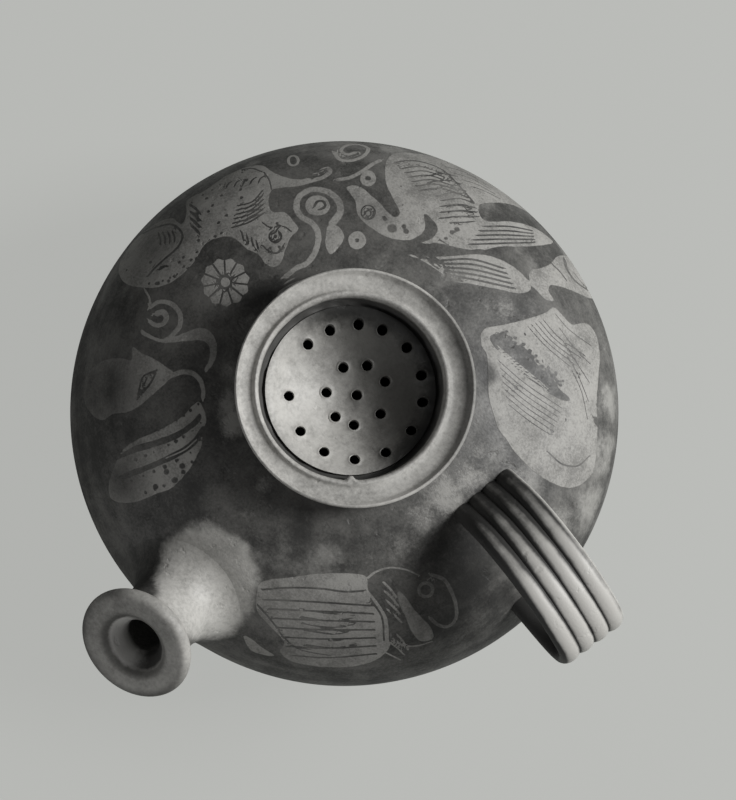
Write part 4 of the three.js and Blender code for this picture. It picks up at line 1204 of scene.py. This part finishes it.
for reed_index in range(REED_COUNT):
    offset = HANDLE_OFFSET + (reed_index - (REED_COUNT - 1) / 2) * REED_PITCH
    reed_mesh = bmesh.new()
    wear_light_layer = reed_mesh.verts.layers.float.new("crest_wear_light")
    last_edges = []
    for step, (out, height) in enumerate(arch_line):
        ahead = arch_line[min(step + 1, len(arch_line) - 1)]
        behind = arch_line[max(step - 1, 0)]
        run = Vector((ahead[0] - behind[0], ahead[1] - behind[1])).normalized()
        onwards = handle_out * run.x + straight_up * run.y
        above = straight_up * run.x - handle_out * run.y
        middle = handle_out * out + handle_side * offset + straight_up * height
        section = Matrix((handle_side * REED_HALF_WIDTH, above * REED_HALF_HEIGHT, onwards)).transposed()
        placed = Matrix.Translation(middle) @ section.to_4x4()
        made = bmesh.ops.create_circle(reed_mesh, cap_ends=step in (0, len(arch_line) - 1), radius=1,
                                       segments=REED_SIDES, matrix=placed)
        past_root_shade = min(max((step / len(arch_line) - ROOT_SHADE_FROM) / ROOT_SHADE_OVER, 0), 1)
        for vert in made["verts"]:
            # Painted shade darkens the reeds near the upper root; the first reed is painted a little darker,
            # and the last reed's outer flank is painted lit.
            vert[wear_light_layer] = (vert.co - middle).dot(above) / REED_HALF_HEIGHT - 0.30 * (1 - past_root_shade)
            if reed_index == 0:
                vert[wear_light_layer] -= 0.03
            if reed_index == REED_COUNT - 1:
                outer_side = (vert.co - middle).dot(handle_side) / REED_HALF_WIDTH
                vert[wear_light_layer] = max(vert[wear_light_layer], 0.3 + 0.55 * outer_side)
        edges = list(dict.fromkeys(edge for vert in made["verts"] for edge in vert.link_edges))
        if last_edges:
            bmesh.ops.bridge_loops(reed_mesh, edges=last_edges + edges)
        last_edges = edges
    bmesh.ops.recalc_face_normals(reed_mesh, faces=reed_mesh.faces)
    reed = shown(f"handle_reed_rolled_{reed_index + 1}", reed_mesh, reed_finish)
    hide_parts(f"handle_reed_{reed_index + 1}")


# Floor and light: a plain pale table under a large soft lamp from the picture's right.
# The lamp stands low enough to leave the left side and the strainer's far wall in shade.
FLOOR_SIZE = 4.0
FLOOR_PALE = (0.468, 0.479, 0.456, 1)
FLOOR_GLOW = (0.512, 0.520, 0.500, 1)
FLOOR_SHOW = 0.85
LAMP_DISTANCE = 1.1
LAMP_SIZE = 0.35
LAMP_LIFT = math.radians(37)
LAMP_TURN = math.radians(7)
LAMP_POWER = 13.0
BOUNCE_SIZE = 0.8
BOUNCE_LIFT = math.radians(20)
BOUNCE_TURN = math.radians(-135)
BOUNCE_POWER = 2.1
FILL_LEVEL = 0.055

floor_mesh = bmesh.new()
bmesh.ops.create_grid(floor_mesh, x_segments=1, y_segments=1, size=FLOOR_SIZE / 2)
floor_data = bpy.data.meshes.new("floor")
floor_mesh.to_mesh(floor_data)
floor_mesh.free()
floor = bpy.data.objects.new("floor", floor_data)
bpy.context.scene.collection.objects.link(floor)

floor_finish, floor_shader, floor_place = new_finish("pale_floor")
floor_shader.inputs["Base Color"].default_value = FLOOR_PALE
floor_shader.inputs["Roughness"].default_value = 0.9
floor_tree = floor_finish.node_tree
seen = floor_place.node("ShaderNodeLightPath", {}, {}, "Is Camera Ray")
clear_of_foot = floor_place.node("ShaderNodeVectorMath", {"operation": "LENGTH"}, {0: floor_place}, "Value")
seen = seen * clear_of_foot.eased(FOOT_INNER, FOOT_OUTER)
glow = floor_place.node("ShaderNodeEmission", {}, {"Color": FLOOR_GLOW, "Strength": 1.0})
plain = Value(floor_tree, floor_shader.outputs["BSDF"])
floor_mix = floor_place.node("ShaderNodeMixShader", {}, {0: FLOOR_SHOW * seen, 1: plain, 2: glow})
floor_mix.into(floor_tree.nodes["Material Output"].inputs["Surface"])
floor_data.materials.append(floor_finish)

for lamp_name, lamp_size, lamp_lift, lamp_turn, lamp_power in (
        ("soft_lamp", LAMP_SIZE, LAMP_LIFT, LAMP_TURN, LAMP_POWER),
        ("table_bounce", BOUNCE_SIZE, BOUNCE_LIFT, BOUNCE_TURN, BOUNCE_POWER)):
    lamp_way = picture_right * math.cos(lamp_turn) + picture_up * math.sin(lamp_turn)
    lamp_way = lamp_way * math.cos(lamp_lift) + straight_up * math.sin(lamp_lift)
    lamp_data = bpy.data.lights.new(lamp_name, "AREA")
    lamp_data.size = lamp_size
    lamp_data.energy = lamp_power
    lamp = bpy.data.objects.new(lamp_name, lamp_data)
    lamp.location = belly_middle + lamp_way * LAMP_DISTANCE
    lamp.rotation_euler = lamp_way.to_track_quat("Z", "Y").to_euler()
    bpy.context.scene.collection.objects.link(lamp)

world = bpy.data.worlds.new("studio")
bpy.context.scene.world = world
world.use_nodes = True
room = world.node_tree
room_light = room.nodes["Background"]
room_light.inputs["Color"].default_value = (1, 1, 1, 1)
room_light.inputs["Strength"].default_value = FILL_LEVEL
room_path = Value(room, room.nodes.new("ShaderNodeLightPath").outputs["Is Camera Ray"])
room_wall = room_path.node("ShaderNodeBackground", {}, {"Color": FLOOR_PALE, "Strength": 1.0})
room_mix = room_path.node("ShaderNodeMixShader", {}, {0: room_path, 1: Value(room, room_light.outputs[0]),
                                                     2: room_wall})
room_mix.into(room.nodes["World Output"].inputs["Surface"])

bpy.context.scene.view_settings.view_transform = "Standard"
